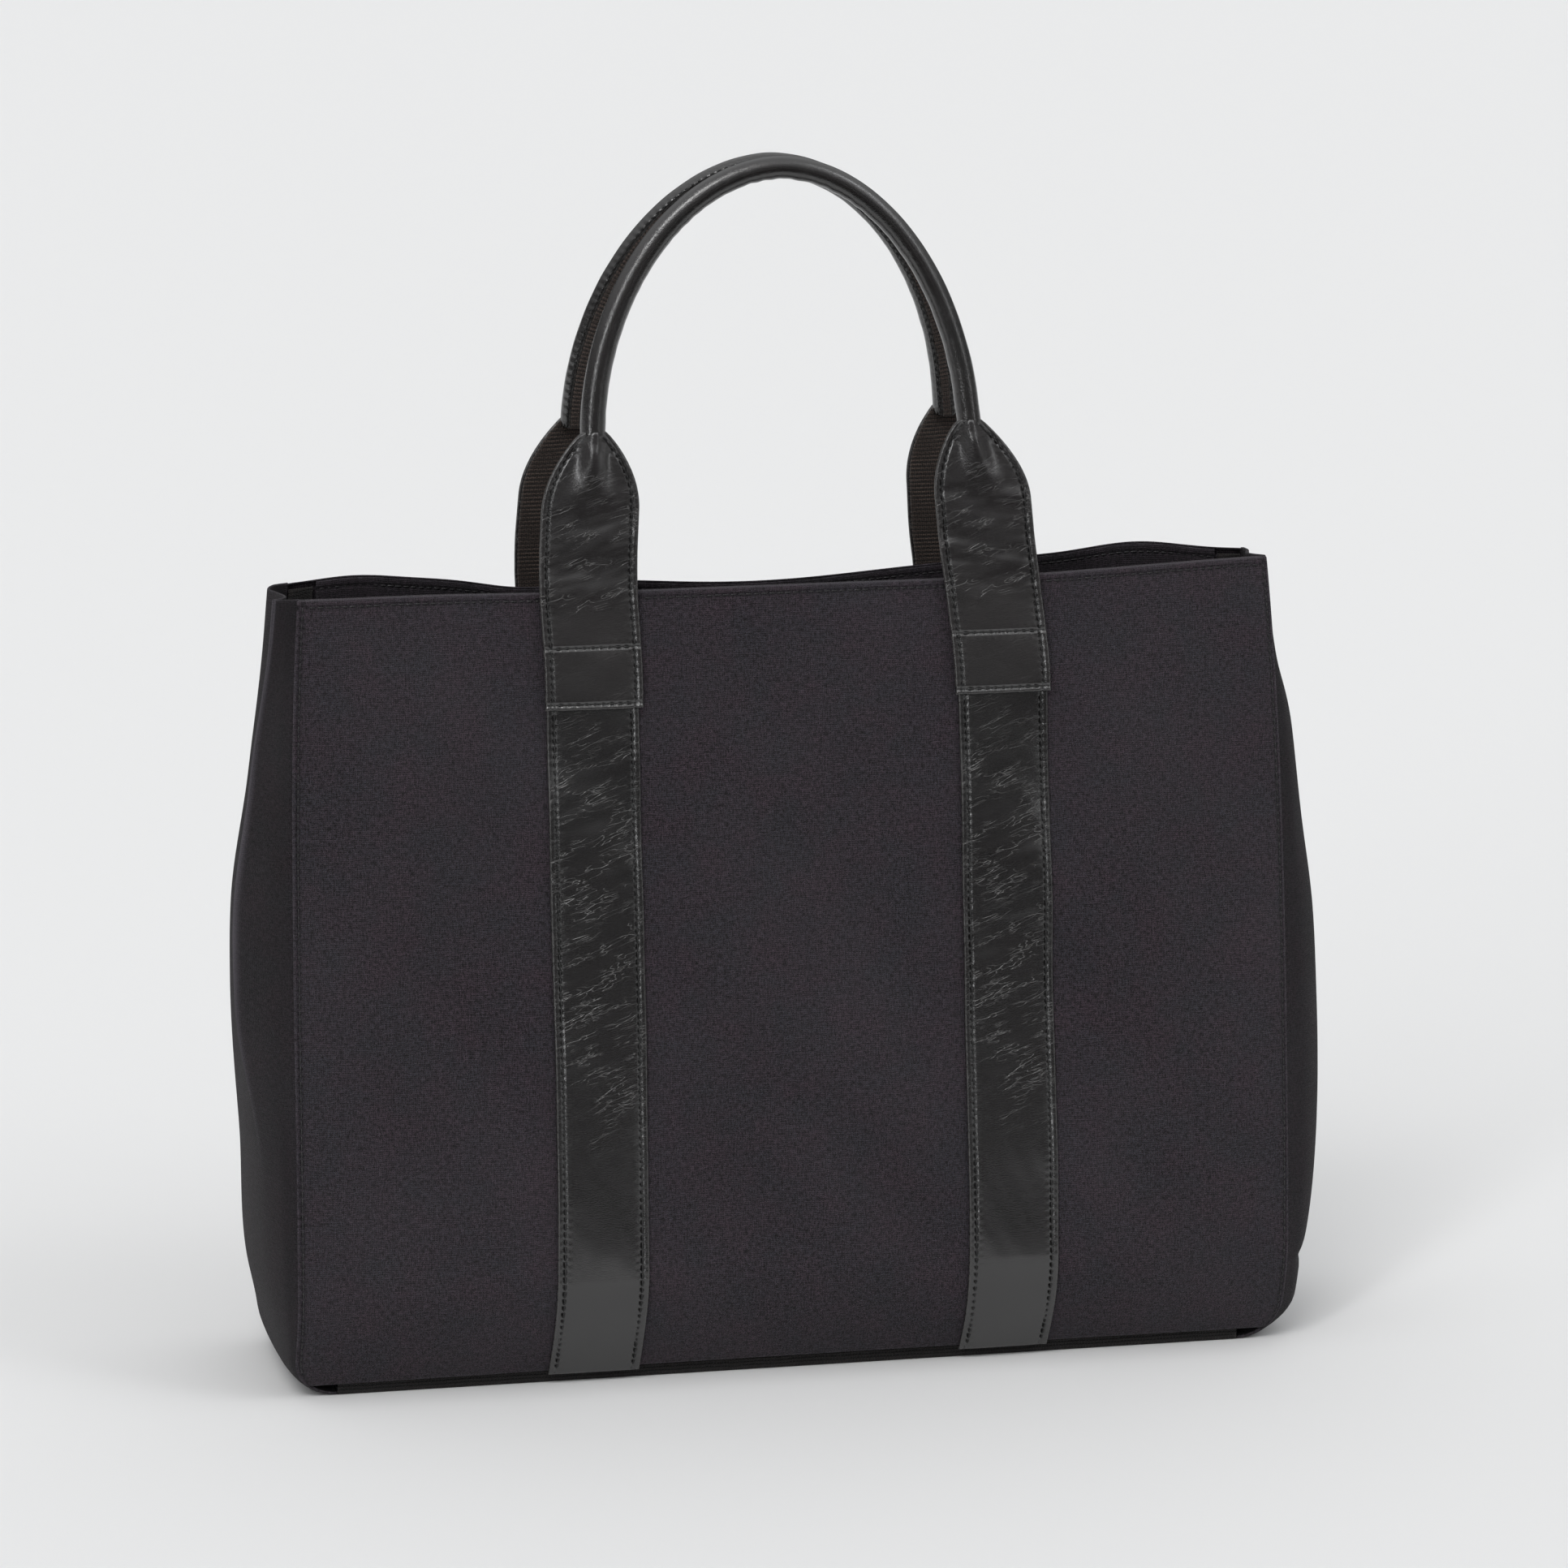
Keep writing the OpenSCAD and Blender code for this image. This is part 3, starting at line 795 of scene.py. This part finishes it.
def gusset_section(hand, s, z):
    """(metres out, share of the half depth) across a gusset, s from -1 to 1."""
    at_rim = smooth(0.255, BODY_H, z) ** 1.3
    creased = smooth(0.10, 0.16, z) if hand == LEFT else 0 * z
    reach = through(REACH[hand], z)
    spread = np.linspace(-1, 1, len(ROUND_SECTION))
    parts = []
    for k in range(2):
        plain, fold, rim = (through([(a, p[k]) for a, p in zip(spread, points)], s)
                            for points in (ROUND_SECTION, CREASED_SECTION, RIM_SECTION[hand]))
        middle = plain * (1 - creased) + fold * creased
        parts.append((middle * (reach if k == 0 else 1)) * (1 - at_rim) + rim * at_rim)
    return parts


def ridge_line(s, z):
    """The sharp fold down the left gusset, 1 along its crest."""
    return smooth(0.08, 0.20, z) * hump(-0.42, 0.040, s)


def gusset_surface(hand, s, v):
    """Point of a gusset's outer face. v is the length along it from the base."""
    arc = CORNER_R * math.pi / 2
    turn = np.clip(v / CORNER_R, 0, math.pi / 2)
    z = np.where(v < arc, CORNER_R * (1 - np.cos(turn)), CORNER_R + v - arc)
    out, deep = gusset_section(hand, s, z)
    slack = (1 - s**2) * smooth(0.0, 0.06, z) * (1 - smooth(0.28, 0.325, z))
    out = out + slack * 0.0005 * ripples(31 + hand, 0.09, s * 0.05, z)
    if hand == RIGHT:
        out = out - 0.0016 * hump(0.040 + 0.006 * s, 0.0035, z) * hump(-0.3, 0.7, s)
    else:
        out = out + 0.0018 * ridge_line(s, z)
    seam = np.where(v < arc, HALF_W - CORNER_R + CORNER_R * np.sin(turn), edge_x(z))
    x = hand * (seam - 0.0008 * (1 - smooth(0.0, 0.05, 1 - np.abs(s))))
    y = deep * (end_half_depth(z) - CANVAS_T / 2)
    share = np.clip((deep + 1) / 2, 0, 1)
    lift = (rim_wave(FRONT, x) * (1 - share) + rim_wave(BACK, x) * share) * np.clip(z / BODY_H, 0, 1.1) ** 7
    return np.stack([lean_x(x, z) + hand * out * np.sin(turn), y, z + lift], axis=-1)


def gusset_place(hand):
    def surface(s, v):
        return gusset_surface(hand, s, v)

    def place(x, v, off):
        s = x / GUSSET_HALF
        near_s, near_v = 0.01, 0.0006
        point = surface(s, v)
        across = surface(np.minimum(s + near_s, 1), v) - surface(np.maximum(s - near_s, -1), v)
        along = surface(s, v + near_v) - surface(s, np.maximum(v - near_v, 0))
        normal = np.cross(across, along) * hand
        normal /= np.linalg.norm(normal, axis=-1, keepdims=True) + 1e-12
        return point + normal * off[..., None]

    return place


def make_gusset(hand):
    name = HAND_NAMES[hand] + "_gusset"
    length = BODY_H - CORNER_R + CORNER_R * math.pi / 2

    # The crest of the left gusset's fold, which the canvas paints pale as a painted highlight.
    def ridge_highlight(x, v):
        z = v - CORNER_R * (math.pi / 2 - 1)
        return ridge_line(x / GUSSET_HALF, z) if hand == LEFT else 0 * x

    piece = sheet(name + "_canvas", SHADED_GUSSET_CANVAS, gusset_place(hand), even(GUSSET_HALF),
                  0.0, length, -CANVAS_T, CANVAS_T, across=0.0011, turned=hand == LEFT, bent=ridge_highlight)
    settle(piece, "root", [name])


def make_base():
    half = BASE_W / 2 - LAYER_GAP
    deep = BASE_D / 2 - WELT_T - LAYER_GAP

    def flat(x, v, off):
        return np.stack([lean_x(x, 0 * x), v, 0 * x + off], axis=-1)

    piece = sheet("base_panel_canvas", LINING_CANVAS, flat, even(half), -deep, deep, 0.0, CANVAS_T,
                  step=0.004)
    settle(piece, "root", ["base_panel"])
    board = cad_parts["base_board"].data
    board.materials.clear()
    board.materials.append(BOARD)

    for side in (FRONT, BACK):
        def upright(x, v, off, side=side):
            bow = 0.0004 * ripples(51 + side, 0.03, x, v)
            y = side * (BASE_D / 2 - WELT_T + off + bow * v / WELT_H)
            return np.stack([lean_x(x, v), y, v + 0 * x], axis=-1)

        name = SIDE_NAMES[side] + "_base_welt"
        welt = sheet(name + "_tape", TAPE, upright, even(BASE_W / 2), 0.0, WELT_H + 0.001, 0.0, WELT_T,
                     step=0.0012, across=0.004, turned=side == BACK)
        settle(welt, "root", [name])


def make_linings():
    inside = -CANVAS_T - LINING_GAP - LINING_T
    inset = CANVAS_T + 0.0005
    for side in (FRONT, BACK):
        name = SIDE_NAMES[side] + "_facing"
        reach = HALF_W * width_share(BODY_H) - inset - BINDING_W - 0.001

        def lined(x, v, off, side=side):
            return on_panel(side, x, v, off + 0.0003 * ripples(61, 0.03, x, v))

        facing = sheet(name + "_canvas", LINING_CANVAS, lined, even(reach),
                       BODY_H - FACING_H, BODY_H - 0.0012, inside, LINING_T, turned=side == BACK)
        settle(facing, "root", [name])
        for hand in (LEFT, RIGHT):
            node = QUARTERS[side, hand] + "_seam_binding"

            def bound(x, v, off, side=side, hand=hand):
                middle = edge_x(v) - inset - BINDING_W / 2
                return on_panel(side, hand * middle + x, v, off + 0.0003 * ripples(71 + hand, 0.02, x, v))

            binding = sheet(node + "_tape", TAPE, bound, even(BINDING_W / 2),
                            CORNER_R + 0.002, BODY_H - 0.003, inside, LINING_T, step=0.003, across=0.002,
                            turned=side == BACK)
            settle(binding, "root", [node])


# ---- Straps, tabs and handles ----

def pulled(v, pitch=STITCH_PITCH):
    """How deep thread pulls a row of stitches in along it."""
    return 0.6 + 0.4 * np.cos(2 * math.pi * v / pitch)


def sewn_down(x, v, half):
    """Groove of a sewn edge, deepest on its row of stitches."""
    return hump(0.0, 0.0016, half - np.abs(x) - LEATHER_STITCH_INSET) * pulled(v)


def strap_bent(x, v):
    return smooth(0.085, 0.13, v) * (1 - 0.6 * smooth(0.255, 0.275, v))


def tab_bent(x, v):
    return 0.25 + 0.75 * smooth(-0.014, 0.002, v) * (1 - smooth(0.040, 0.055, v))


def strap_place(side, hand):
    def place(x, v, off):
        soft = 0.00007 * ripples(81 + 2 * side + hand, 0.014, x, 0.7 * v + 0.5 * x)
        soft = soft + 0.00025 * ripples(91 + side + hand, 0.05, x, v)
        soft = soft + 0.00012 * strap_bent(x, v) * ripples(96 + side + hand, 0.0095, 0.25 * x, v - 0.36 * x)
        puffed = 0.0004 * (1 - (x / (STRAP_W / 2)) ** 2) + soft * smooth(0.0, 0.004, STRAP_W / 2 - np.abs(x))
        groove = 0.00045 * sewn_down(x, v, STRAP_W / 2)
        lifted = (puffed - groove) * np.clip(off / 0.0016, 0, 1)
        wander = 0.0004 * np.sin(v / 0.05 + hand)
        return on_panel(side, hand * STRAP_X * width_share(v) + x + wander, v, off + lifted)

    return place


def tab_half(up, width):
    start = TAB_STRAIGHT - 0.003
    narrow = np.cos(math.pi / 2 * np.clip((up - start) / (TAB_TOP - start), 0, 1))
    return 0.0045 + (width / 2 - 0.0045) * narrow**0.8


def askew(side, x, up):
    """The handles stand a little towards the bag's left, their right legs most."""
    tab = (0.0030 if side == FRONT else 0.0044) * smooth(-0.04, 0.02, up)
    leg = 0.0036 * smooth(0.030, 0.075, up) * np.clip(x / 0.08, 0, 1) ** 1.5
    return x - tab - leg


def handle_point(side, x, up, off):
    """Point of a handle's own leaning plane: x across, up from the mouth and off outwards."""
    x = askew(side, x, up)
    y = MOUTH_D / 2 + off * math.cos(HANDLE_LEAN) - up * math.sin(HANDLE_LEAN)
    z = BODY_H + off * math.sin(HANDLE_LEAN) + up * math.cos(HANDLE_LEAN)
    return np.stack([x + 0 * y, side * y, z + 0 * x], axis=-1)


def tab_point(side, hand, x, v, off):
    """Point of a tab: v is below the mouth where it is negative, and up the handle where it is positive."""
    z = BODY_H + np.minimum(v, 0.004)
    up = np.maximum(v, -0.004)
    sewn = on_panel(side, askew(side, hand * STRAP_X * width_share(z) + x, v), z, off, rim=0.0)
    free = handle_point(side, hand * (STRAP_X * width_share(BODY_H) - TAB_TOE_IN * up) + x, up, off)
    share = smooth(-0.004, 0.004, v)[..., None]
    return sewn * (1 - share) + free * share


def tab_place(side, hand):
    seed = 101 + 2 * side + hand

    def place(x, v, off):
        half = tab_half(v, TAB_W)
        inward = smooth(0.0, 0.004, half - np.abs(x))
        crush = smooth(-0.014, 0.002, v) * (1 - smooth(0.032, 0.046, v))
        fold = (0.0005 * ripples(seed, 0.013, 0.25 * x, v + 0.12 * x)
                + 0.00013 * ripples(seed + 5, 0.005, 0.3 * x, v - 0.1 * x)) * crush
        soft = 0.00016 * ripples(seed + 10, 0.025, x, v)
        gather = smooth(0.026, 0.060, v)
        spread = 0.0105 - 0.0058 * gather
        ridge = 0.0036 * gather * hump(0.0, 1.0, x / spread)
        pleat = 0.0006 * gather * (1 - smooth(0.056, 0.061, v)) * np.cos(x / (0.0021 + 0.0016 * (1 - gather)))
        rows = hump(-ROW_DROPS[0], 0.0013, v) + hump(-ROW_DROPS[1], 0.0013, v)
        groove = 0.00045 * np.maximum(sewn_down(x, v, half), 0.5 * rows * pulled(x))
        lifted = ridge + (fold + soft + pleat) * inward + 0.0003 * (1 - (x / half) ** 2) - groove
        return tab_point(side, hand, x, v, off + lifted * np.clip((off - TAB_IN) / 0.0009 + 0.5, 0.5, 1))

    return place


def webbing_place(side, hand):
    def place(x, v, off):
        gather = smooth(0.030, 0.058, v)
        lifted = 0.0016 * gather * hump(0.0, 0.006, x)
        rib = 0.00016 * np.cos(2 * math.pi * v / RIB_PITCH) * np.sign(off - WEBBING_T / 2)
        return tab_point(side, hand, x, v, off + lifted + rib)

    return place


def make_straps():
    strap_top = BODY_H - TAB_DROP + STRAP_TUCK
    for (side, hand), name in QUARTERS.items():
        at_back = side == BACK
        strap = sheet(name + "_strap_leather", STRAP_LEATHER, strap_place(side, hand), even(STRAP_W / 2),
                      WELT_H - 0.001, strap_top, LAYER_GAP, WEBBING_T,
                      step=0.0010, across=0.0012, turned=at_back, bent=strap_bent)
        settle(strap, "root", [name + "_strap"])
        tab = sheet(name + "_tab_leather", TAB_LEATHER, tab_place(side, hand), lambda v: tab_half(v, TAB_W),
                    -TAB_DROP, TAB_TOP, TAB_IN, LEATHER_T,
                    step=0.0009, across=0.0009, turned=at_back, bent=tab_bent)
        settle_across(tab, [name + "_tab", name + "_tab_anchor"])
        webbing = sheet(name + "_tab_ribbed", WEBBING, webbing_place(side, hand),
                        lambda v: tab_half(v, WEBBING_W), -TAB_DROP + STRAP_TUCK + 0.001, TAB_TOP - 0.001,
                        LAYER_GAP, WEBBING_T, step=0.0004, across=0.0018, turned=at_back)
        settle_across(webbing, [name + "_tab_webbing", name + "_webbing_anchor"])


def arch_table():
    """The grip's middle line as lengths, points and outward directions in the handle's plane."""
    angle = np.radians(np.linspace(180, 0, 721))
    power = 2 / ARCH_POWER
    half = STRAP_X * width_share(BODY_H) - TAB_TOE_IN * TAB_RISE
    cos, sin = np.cos(angle), np.clip(np.sin(angle), 0, 1)
    x = half * np.sign(cos) * np.abs(cos) ** power
    up = TAB_RISE + LAYER_GAP + (GRIP_RISE - TAB_RISE) * sin**power
    length = np.concatenate([[0], np.cumsum(np.hypot(np.diff(x), np.diff(up)))])
    dx, dup = np.gradient(x, length), np.gradient(up, length)
    dx[0], dup[0], dx[-1], dup[-1] = 0, 1, 0, -1
    return length, x, up, -dup, dx


ARCH = arch_table()
ARCH_LENGTH = float(ARCH[0][-1])


def along_grip(side, v, radius, angle):
    """Point round the grip. Angle 0 points away from the other handle, 90 degrees to the arch's outside."""
    length, x, up, out_x, out_up = ARCH
    lean = np.interp(v, length, out_x)
    rise = np.interp(v, length, out_up)
    size = np.hypot(lean, rise)
    away = radius * np.sin(angle) / size
    return handle_point(side, np.interp(v, length, x) + lean * away, np.interp(v, length, up) + rise * away,
                        GRIP_OFFSET + radius * np.cos(angle))


def worn_thin(v):
    """The grip is pressed a little thinner at the top of its arch, where it is held."""
    return 1 - 0.10 * hump(ARCH_LENGTH / 2, 0.10, v)


def make_grip(side):
    """Rolled leather, the webbing that closes it and the twisted cord inside."""
    body = SIDE_NAMES[side] + "_handle"
    grip = SIDE_NAMES[side] + "_grip"

    def rolled(x, v, off):
        angle = x / GRIP_R
        inner = hump(-math.pi / 2, 0.9, angle)
        top = hump(ARCH_LENGTH / 2, 0.11, v)
        wrinkle = 0.00014 * inner * ripples(121 + side, 0.006, v + 0.3 * x, 0.2 * x) * (0.35 + top)
        soft = 0.00006 * ripples(131 + side, 0.02, x, v)
        pressed = 0.00025 * hump(0, 0.0012, ROLL_HALF - np.abs(x) - GRIP_STITCH_INSET) * pulled(v, GRIP_PITCH)
        radius = CORE_R + CORE_GAP + off + (wrinkle + soft - pressed) * np.clip(off / 0.0008, 0, 1)
        return along_grip(side, v, radius * worn_thin(v), angle)

    leather = sheet(grip + "_rolled", GRIP_LEATHER, rolled, even(ROLL_HALF),
                    0.0, ARCH_LENGTH, 0.0, GRIP_R - CORE_R - CORE_GAP, step=0.0014, across=0.0009,
                    turned=side == BACK, bent=lambda x, v: 1 + 0 * v)
    settle(leather, body, [grip + "_leather"])

    def filled(x, v, off):
        radius = CORE_R + CORE_GAP + off
        return along_grip(side, v, np.hypot(radius, x) * worn_thin(v), math.pi - np.arctan2(x, radius))

    webbing = sheet(grip + "_ribbed", WEBBING, filled,
                    even(SLOT_W / 2 - 0.0003), 0.0, ARCH_LENGTH, 0.0, 0.00125, step=0.0018,
                    across=0.0008, turned=side == FRONT)
    settle(webbing, body, [grip + "_webbing"])

    rings, ring = 200, 18
    along, round_it = np.linspace(0.0, ARCH_LENGTH, rings), np.arange(ring) * 2 * math.pi / ring
    v, angle = np.meshgrid(along, round_it, indexing="ij")
    radius = CORE_R * (0.92 + 0.07 * np.cos(3 * angle + v / 0.004)) * worn_thin(v)
    ends = along_grip(side, np.array([0.0, ARCH_LENGTH]), np.zeros(2), np.zeros(2))
    points = np.concatenate([along_grip(side, v, radius, angle).reshape(-1, 3), ends])
    uv = np.concatenate([np.stack([CORE_R * angle, v], axis=-1).reshape(-1, 2), [[0, 0], [0, ARCH_LENGTH]]])
    index = np.arange(rings * ring).reshape(rings, ring)
    turned = np.roll(index, -1, axis=1)
    middle = np.full(ring, rings * ring)
    faces = np.stack([index[:-1], turned[:-1], turned[1:], index[1:]], axis=-1).reshape(-1, 4).tolist()
    faces += np.stack([turned[0], index[0], middle], axis=-1).tolist()
    faces += np.stack([index[-1], turned[-1], middle + 1], axis=-1).tolist()
    if side == FRONT:
        faces = [face[::-1] for face in faces]
    core = make_object(body + "_cord", points, faces, CORD, uv)
    settle(core, body, [grip + "_core"])


# ---- Stitches ----

def stitch_tree(name, finish):
    """Geometry nodes that lay one short bent thread on every point of a mesh."""
    tree = bpy.data.node_groups.new(name, "GeometryNodeTree")
    face = tree.interface
    face.new_socket("Points", in_out="INPUT", socket_type="NodeSocketGeometry")
    sizes = {"Stitch Length": 0.0022, "Thread Radius": 0.00036, "Arch": 0.00050, "Unevenness": 0.12}
    for key, value in sizes.items():
        face.new_socket(key, in_out="INPUT", socket_type="NodeSocketFloat").default_value = value
    face.new_socket("Stitches", in_out="OUTPUT", socket_type="NodeSocketGeometry")
    n = Nodes(tree)
    given = n.add("NodeGroupInput").outputs

    def combine(x, z):
        return n.one("ShaderNodeCombineXYZ", {"X": x, "Z": z})

    def direction(key):
        return n.one("GeometryNodeInputNamedAttribute", {"Name": key}, data_type="FLOAT_VECTOR")

    half = n.times(given["Stitch Length"], 0.5)
    low_end = n.times(given["Arch"], -0.6)
    arc = n.one("GeometryNodeCurveQuadraticBezier", {
        "Resolution": 4, "Start": combine(n.times(half, -1.0), low_end),
        "Middle": combine(0.0, given["Arch"]), "End": combine(half, low_end),
    })
    ring = n.one("GeometryNodeCurvePrimitiveCircle", {"Resolution": 6, "Radius": given["Thread Radius"]})
    thread = n.one("GeometryNodeCurveToMesh", {"Curve": arc, "Profile Curve": ring, "Fill Caps": True})
    first = n.one("FunctionNodeAlignRotationToVector", {"Vector": direction("along")}, axis="X")
    turn = n.one("FunctionNodeAlignRotationToVector", {"Rotation": first, "Vector": direction("out")},
                 axis="Z", pivot_axis="X")
    low = n.minus(1.0, given["Unevenness"])
    high = n.plus(1.0, given["Unevenness"])
    size = n.add("FunctionNodeRandomValue", {"Seed": 7, 2: low, 3: high}, data_type="FLOAT").outputs[1]
    spread = n.one("GeometryNodeInstanceOnPoints", {
        "Points": given["Points"], "Instance": thread, "Rotation": turn, "Scale": size,
    })
    real = n.one("GeometryNodeRealizeInstances", {"Geometry": spread})
    rounded = n.one("GeometryNodeSetShadeSmooth", {"Geometry": real})
    painted = n.one("GeometryNodeSetMaterial", {"Geometry": rounded, "Material": finish})
    n.add("NodeGroupOutput", {0: painted})
    return tree


def stitch_row(place, x, v, off, pitch=STITCH_PITCH):
    """(points, directions along the row, directions out of the surface) of evenly spaced stitches.
    x and v are the row's places on the sheet."""
    path = place(x, v, off + 0 * x)
    length = np.concatenate([[0], np.cumsum(np.linalg.norm(np.diff(path, axis=0), axis=1))])
    count = max(1, int(length[-1] / pitch))
    middles = (np.arange(count) + 0.5) * length[-1] / count
    mx, mv = np.interp(middles, length, x), np.interp(middles, length, v)
    points = place(mx, mv, off + 0 * mx)
    near = 0.4 * pitch
    ahead, behind = np.minimum(middles + near, length[-1]), np.maximum(middles - near, 0)
    along = (place(np.interp(ahead, length, x), np.interp(ahead, length, v), off + 0 * mx)
             - place(np.interp(behind, length, x), np.interp(behind, length, v), off + 0 * mx))
    out = place(mx, mv, off + 0.001 + 0 * mx) - points
    return points, along, out


def make_stitches(name, finish, rows, **sizes):
    """One mesh of all the stitches of some rows."""
    points, along, out = (np.concatenate(part) for part in zip(*rows))
    mesh = bpy.data.meshes.new(name + "_points")
    mesh.from_pydata(points.tolist(), [], [])
    for key, value in (("along", along), ("out", out)):
        attribute = mesh.attributes.new(key, "FLOAT_VECTOR", "POINT")
        attribute.data.foreach_set("vector", value.astype(np.float32).ravel())
    seeds = show(name + "_points", mesh)
    tree = stitch_tree(name + "_tree", finish)
    modifier = seeds.modifiers.new("stitches", "NODES")
    modifier.node_group = tree
    for item in tree.interface.items_tree:
        key = item.name.replace(" ", "_").lower()
        if item.in_out == "INPUT" and key in sizes:
            modifier[item.identifier] = sizes[key]
    graph = bpy.context.evaluated_depsgraph_get()
    graph.update()
    real = bpy.data.meshes.new_from_object(seeds.evaluated_get(graph))
    bpy.data.objects.remove(seeds)
    real.name = name
    for key in ("along", "out"):
        if key in real.attributes:
            real.attributes.remove(real.attributes[key])
    return show(name, real)


def make_canvas_stitches():
    rows = []
    for side in (FRONT, BACK):
        place = panel_place(side)
        for hand in (LEFT, RIGHT):
            v = np.linspace(0.012, BODY_H - 0.003, 300)
            rows.append(stitch_row(place, hand * (edge_x(v) - SEAM_STITCH_INSET), v, 0.0))
        edge = float(edge_x(np.array(BODY_H))) - 0.004
        straps = STRAP_X * float(width_share(BODY_H))
        for x0, x1 in ((-edge, -straps - 0.021), (-straps + 0.021, straps - 0.021), (straps + 0.021, edge)):
            x = np.linspace(x0, x1, 200)
            rows.append(stitch_row(place, x, HEM_LEVEL + 0 * x, 0.0))
        x = np.linspace(-0.19, 0.19, 300)
        points, along, out = stitch_row(functools.partial(on_panel, side), x, LINING_HEM_LEVEL + 0 * x,
                                        -CANVAS_T - LINING_GAP - LINING_T)
        rows.append((points, along, -out))
    piece = make_stitches("canvas_stitches", DARK_THREAD, rows)
    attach(piece, "root")


def make_strap_stitches():
    rows = []
    v = np.linspace(WELT_H + 0.002, BODY_H - TAB_DROP - 0.002, 260)
    for side, hand in QUARTERS:
        for edge in (LEFT, RIGHT):
            x = edge * (STRAP_W / 2 - LEATHER_STITCH_INSET) + 0 * v
            rows.append(stitch_row(strap_place(side, hand), x, v, LAYER_GAP + WEBBING_T))
    piece = make_stitches("strap_stitches", LEATHER_THREAD, rows)
    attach(piece, "root")


def make_tab_stitches(side):
    rows = []
    for hand in (LEFT, RIGHT):
        place = tab_place(side, hand)
        for edge in (LEFT, RIGHT):
            v = np.linspace(-TAB_DROP + 0.003, TAB_TOP - 0.006, 260)
            x = edge * (tab_half(v, TAB_W) - LEATHER_STITCH_INSET)
            rows.append(stitch_row(place, x, v, TAB_IN + LEATHER_T))
        for drop in ROW_DROPS:
            x = np.linspace(-TAB_W / 2 + 0.0045, TAB_W / 2 - 0.0045, 60)
            rows.append(stitch_row(place, x, -drop + 0 * x, TAB_IN + LEATHER_T))
    piece = make_stitches(SIDE_NAMES[side] + "_tab_stitches", LEATHER_THREAD, rows)
    settle_across(piece, [])


def make_grip_stitches(side):
    """The row beside the slot on the grip, which holds the rolled leather to the webbing."""
    def rolled(x, v, off):
        return along_grip(side, v, (GRIP_R + off) * worn_thin(v), x / GRIP_R)

    rows = []
    for edge in (LEFT, RIGHT):
        v = np.linspace(0.004, ARCH_LENGTH - 0.004, 500)
        x = edge * (ROLL_HALF - GRIP_STITCH_INSET) + 0 * v
        rows.append(stitch_row(rolled, x, v, -0.0002, GRIP_PITCH))
    piece = make_stitches(SIDE_NAMES[side] + "_grip_stitches", LEATHER_THREAD, rows,
                          stitch_length=0.0022, thread_radius=0.00026)
    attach(piece, SIDE_NAMES[side] + "_handle")


add_camera()
add_studio()
for side in (FRONT, BACK):
    make_panel(side)
for hand in (LEFT, RIGHT):
    make_gusset(hand)
make_base()
make_linings()
make_straps()
make_canvas_stitches()
make_strap_stitches()
for side in (FRONT, BACK):
    make_grip(side)
    make_tab_stitches(side)
    make_grip_stitches(side)
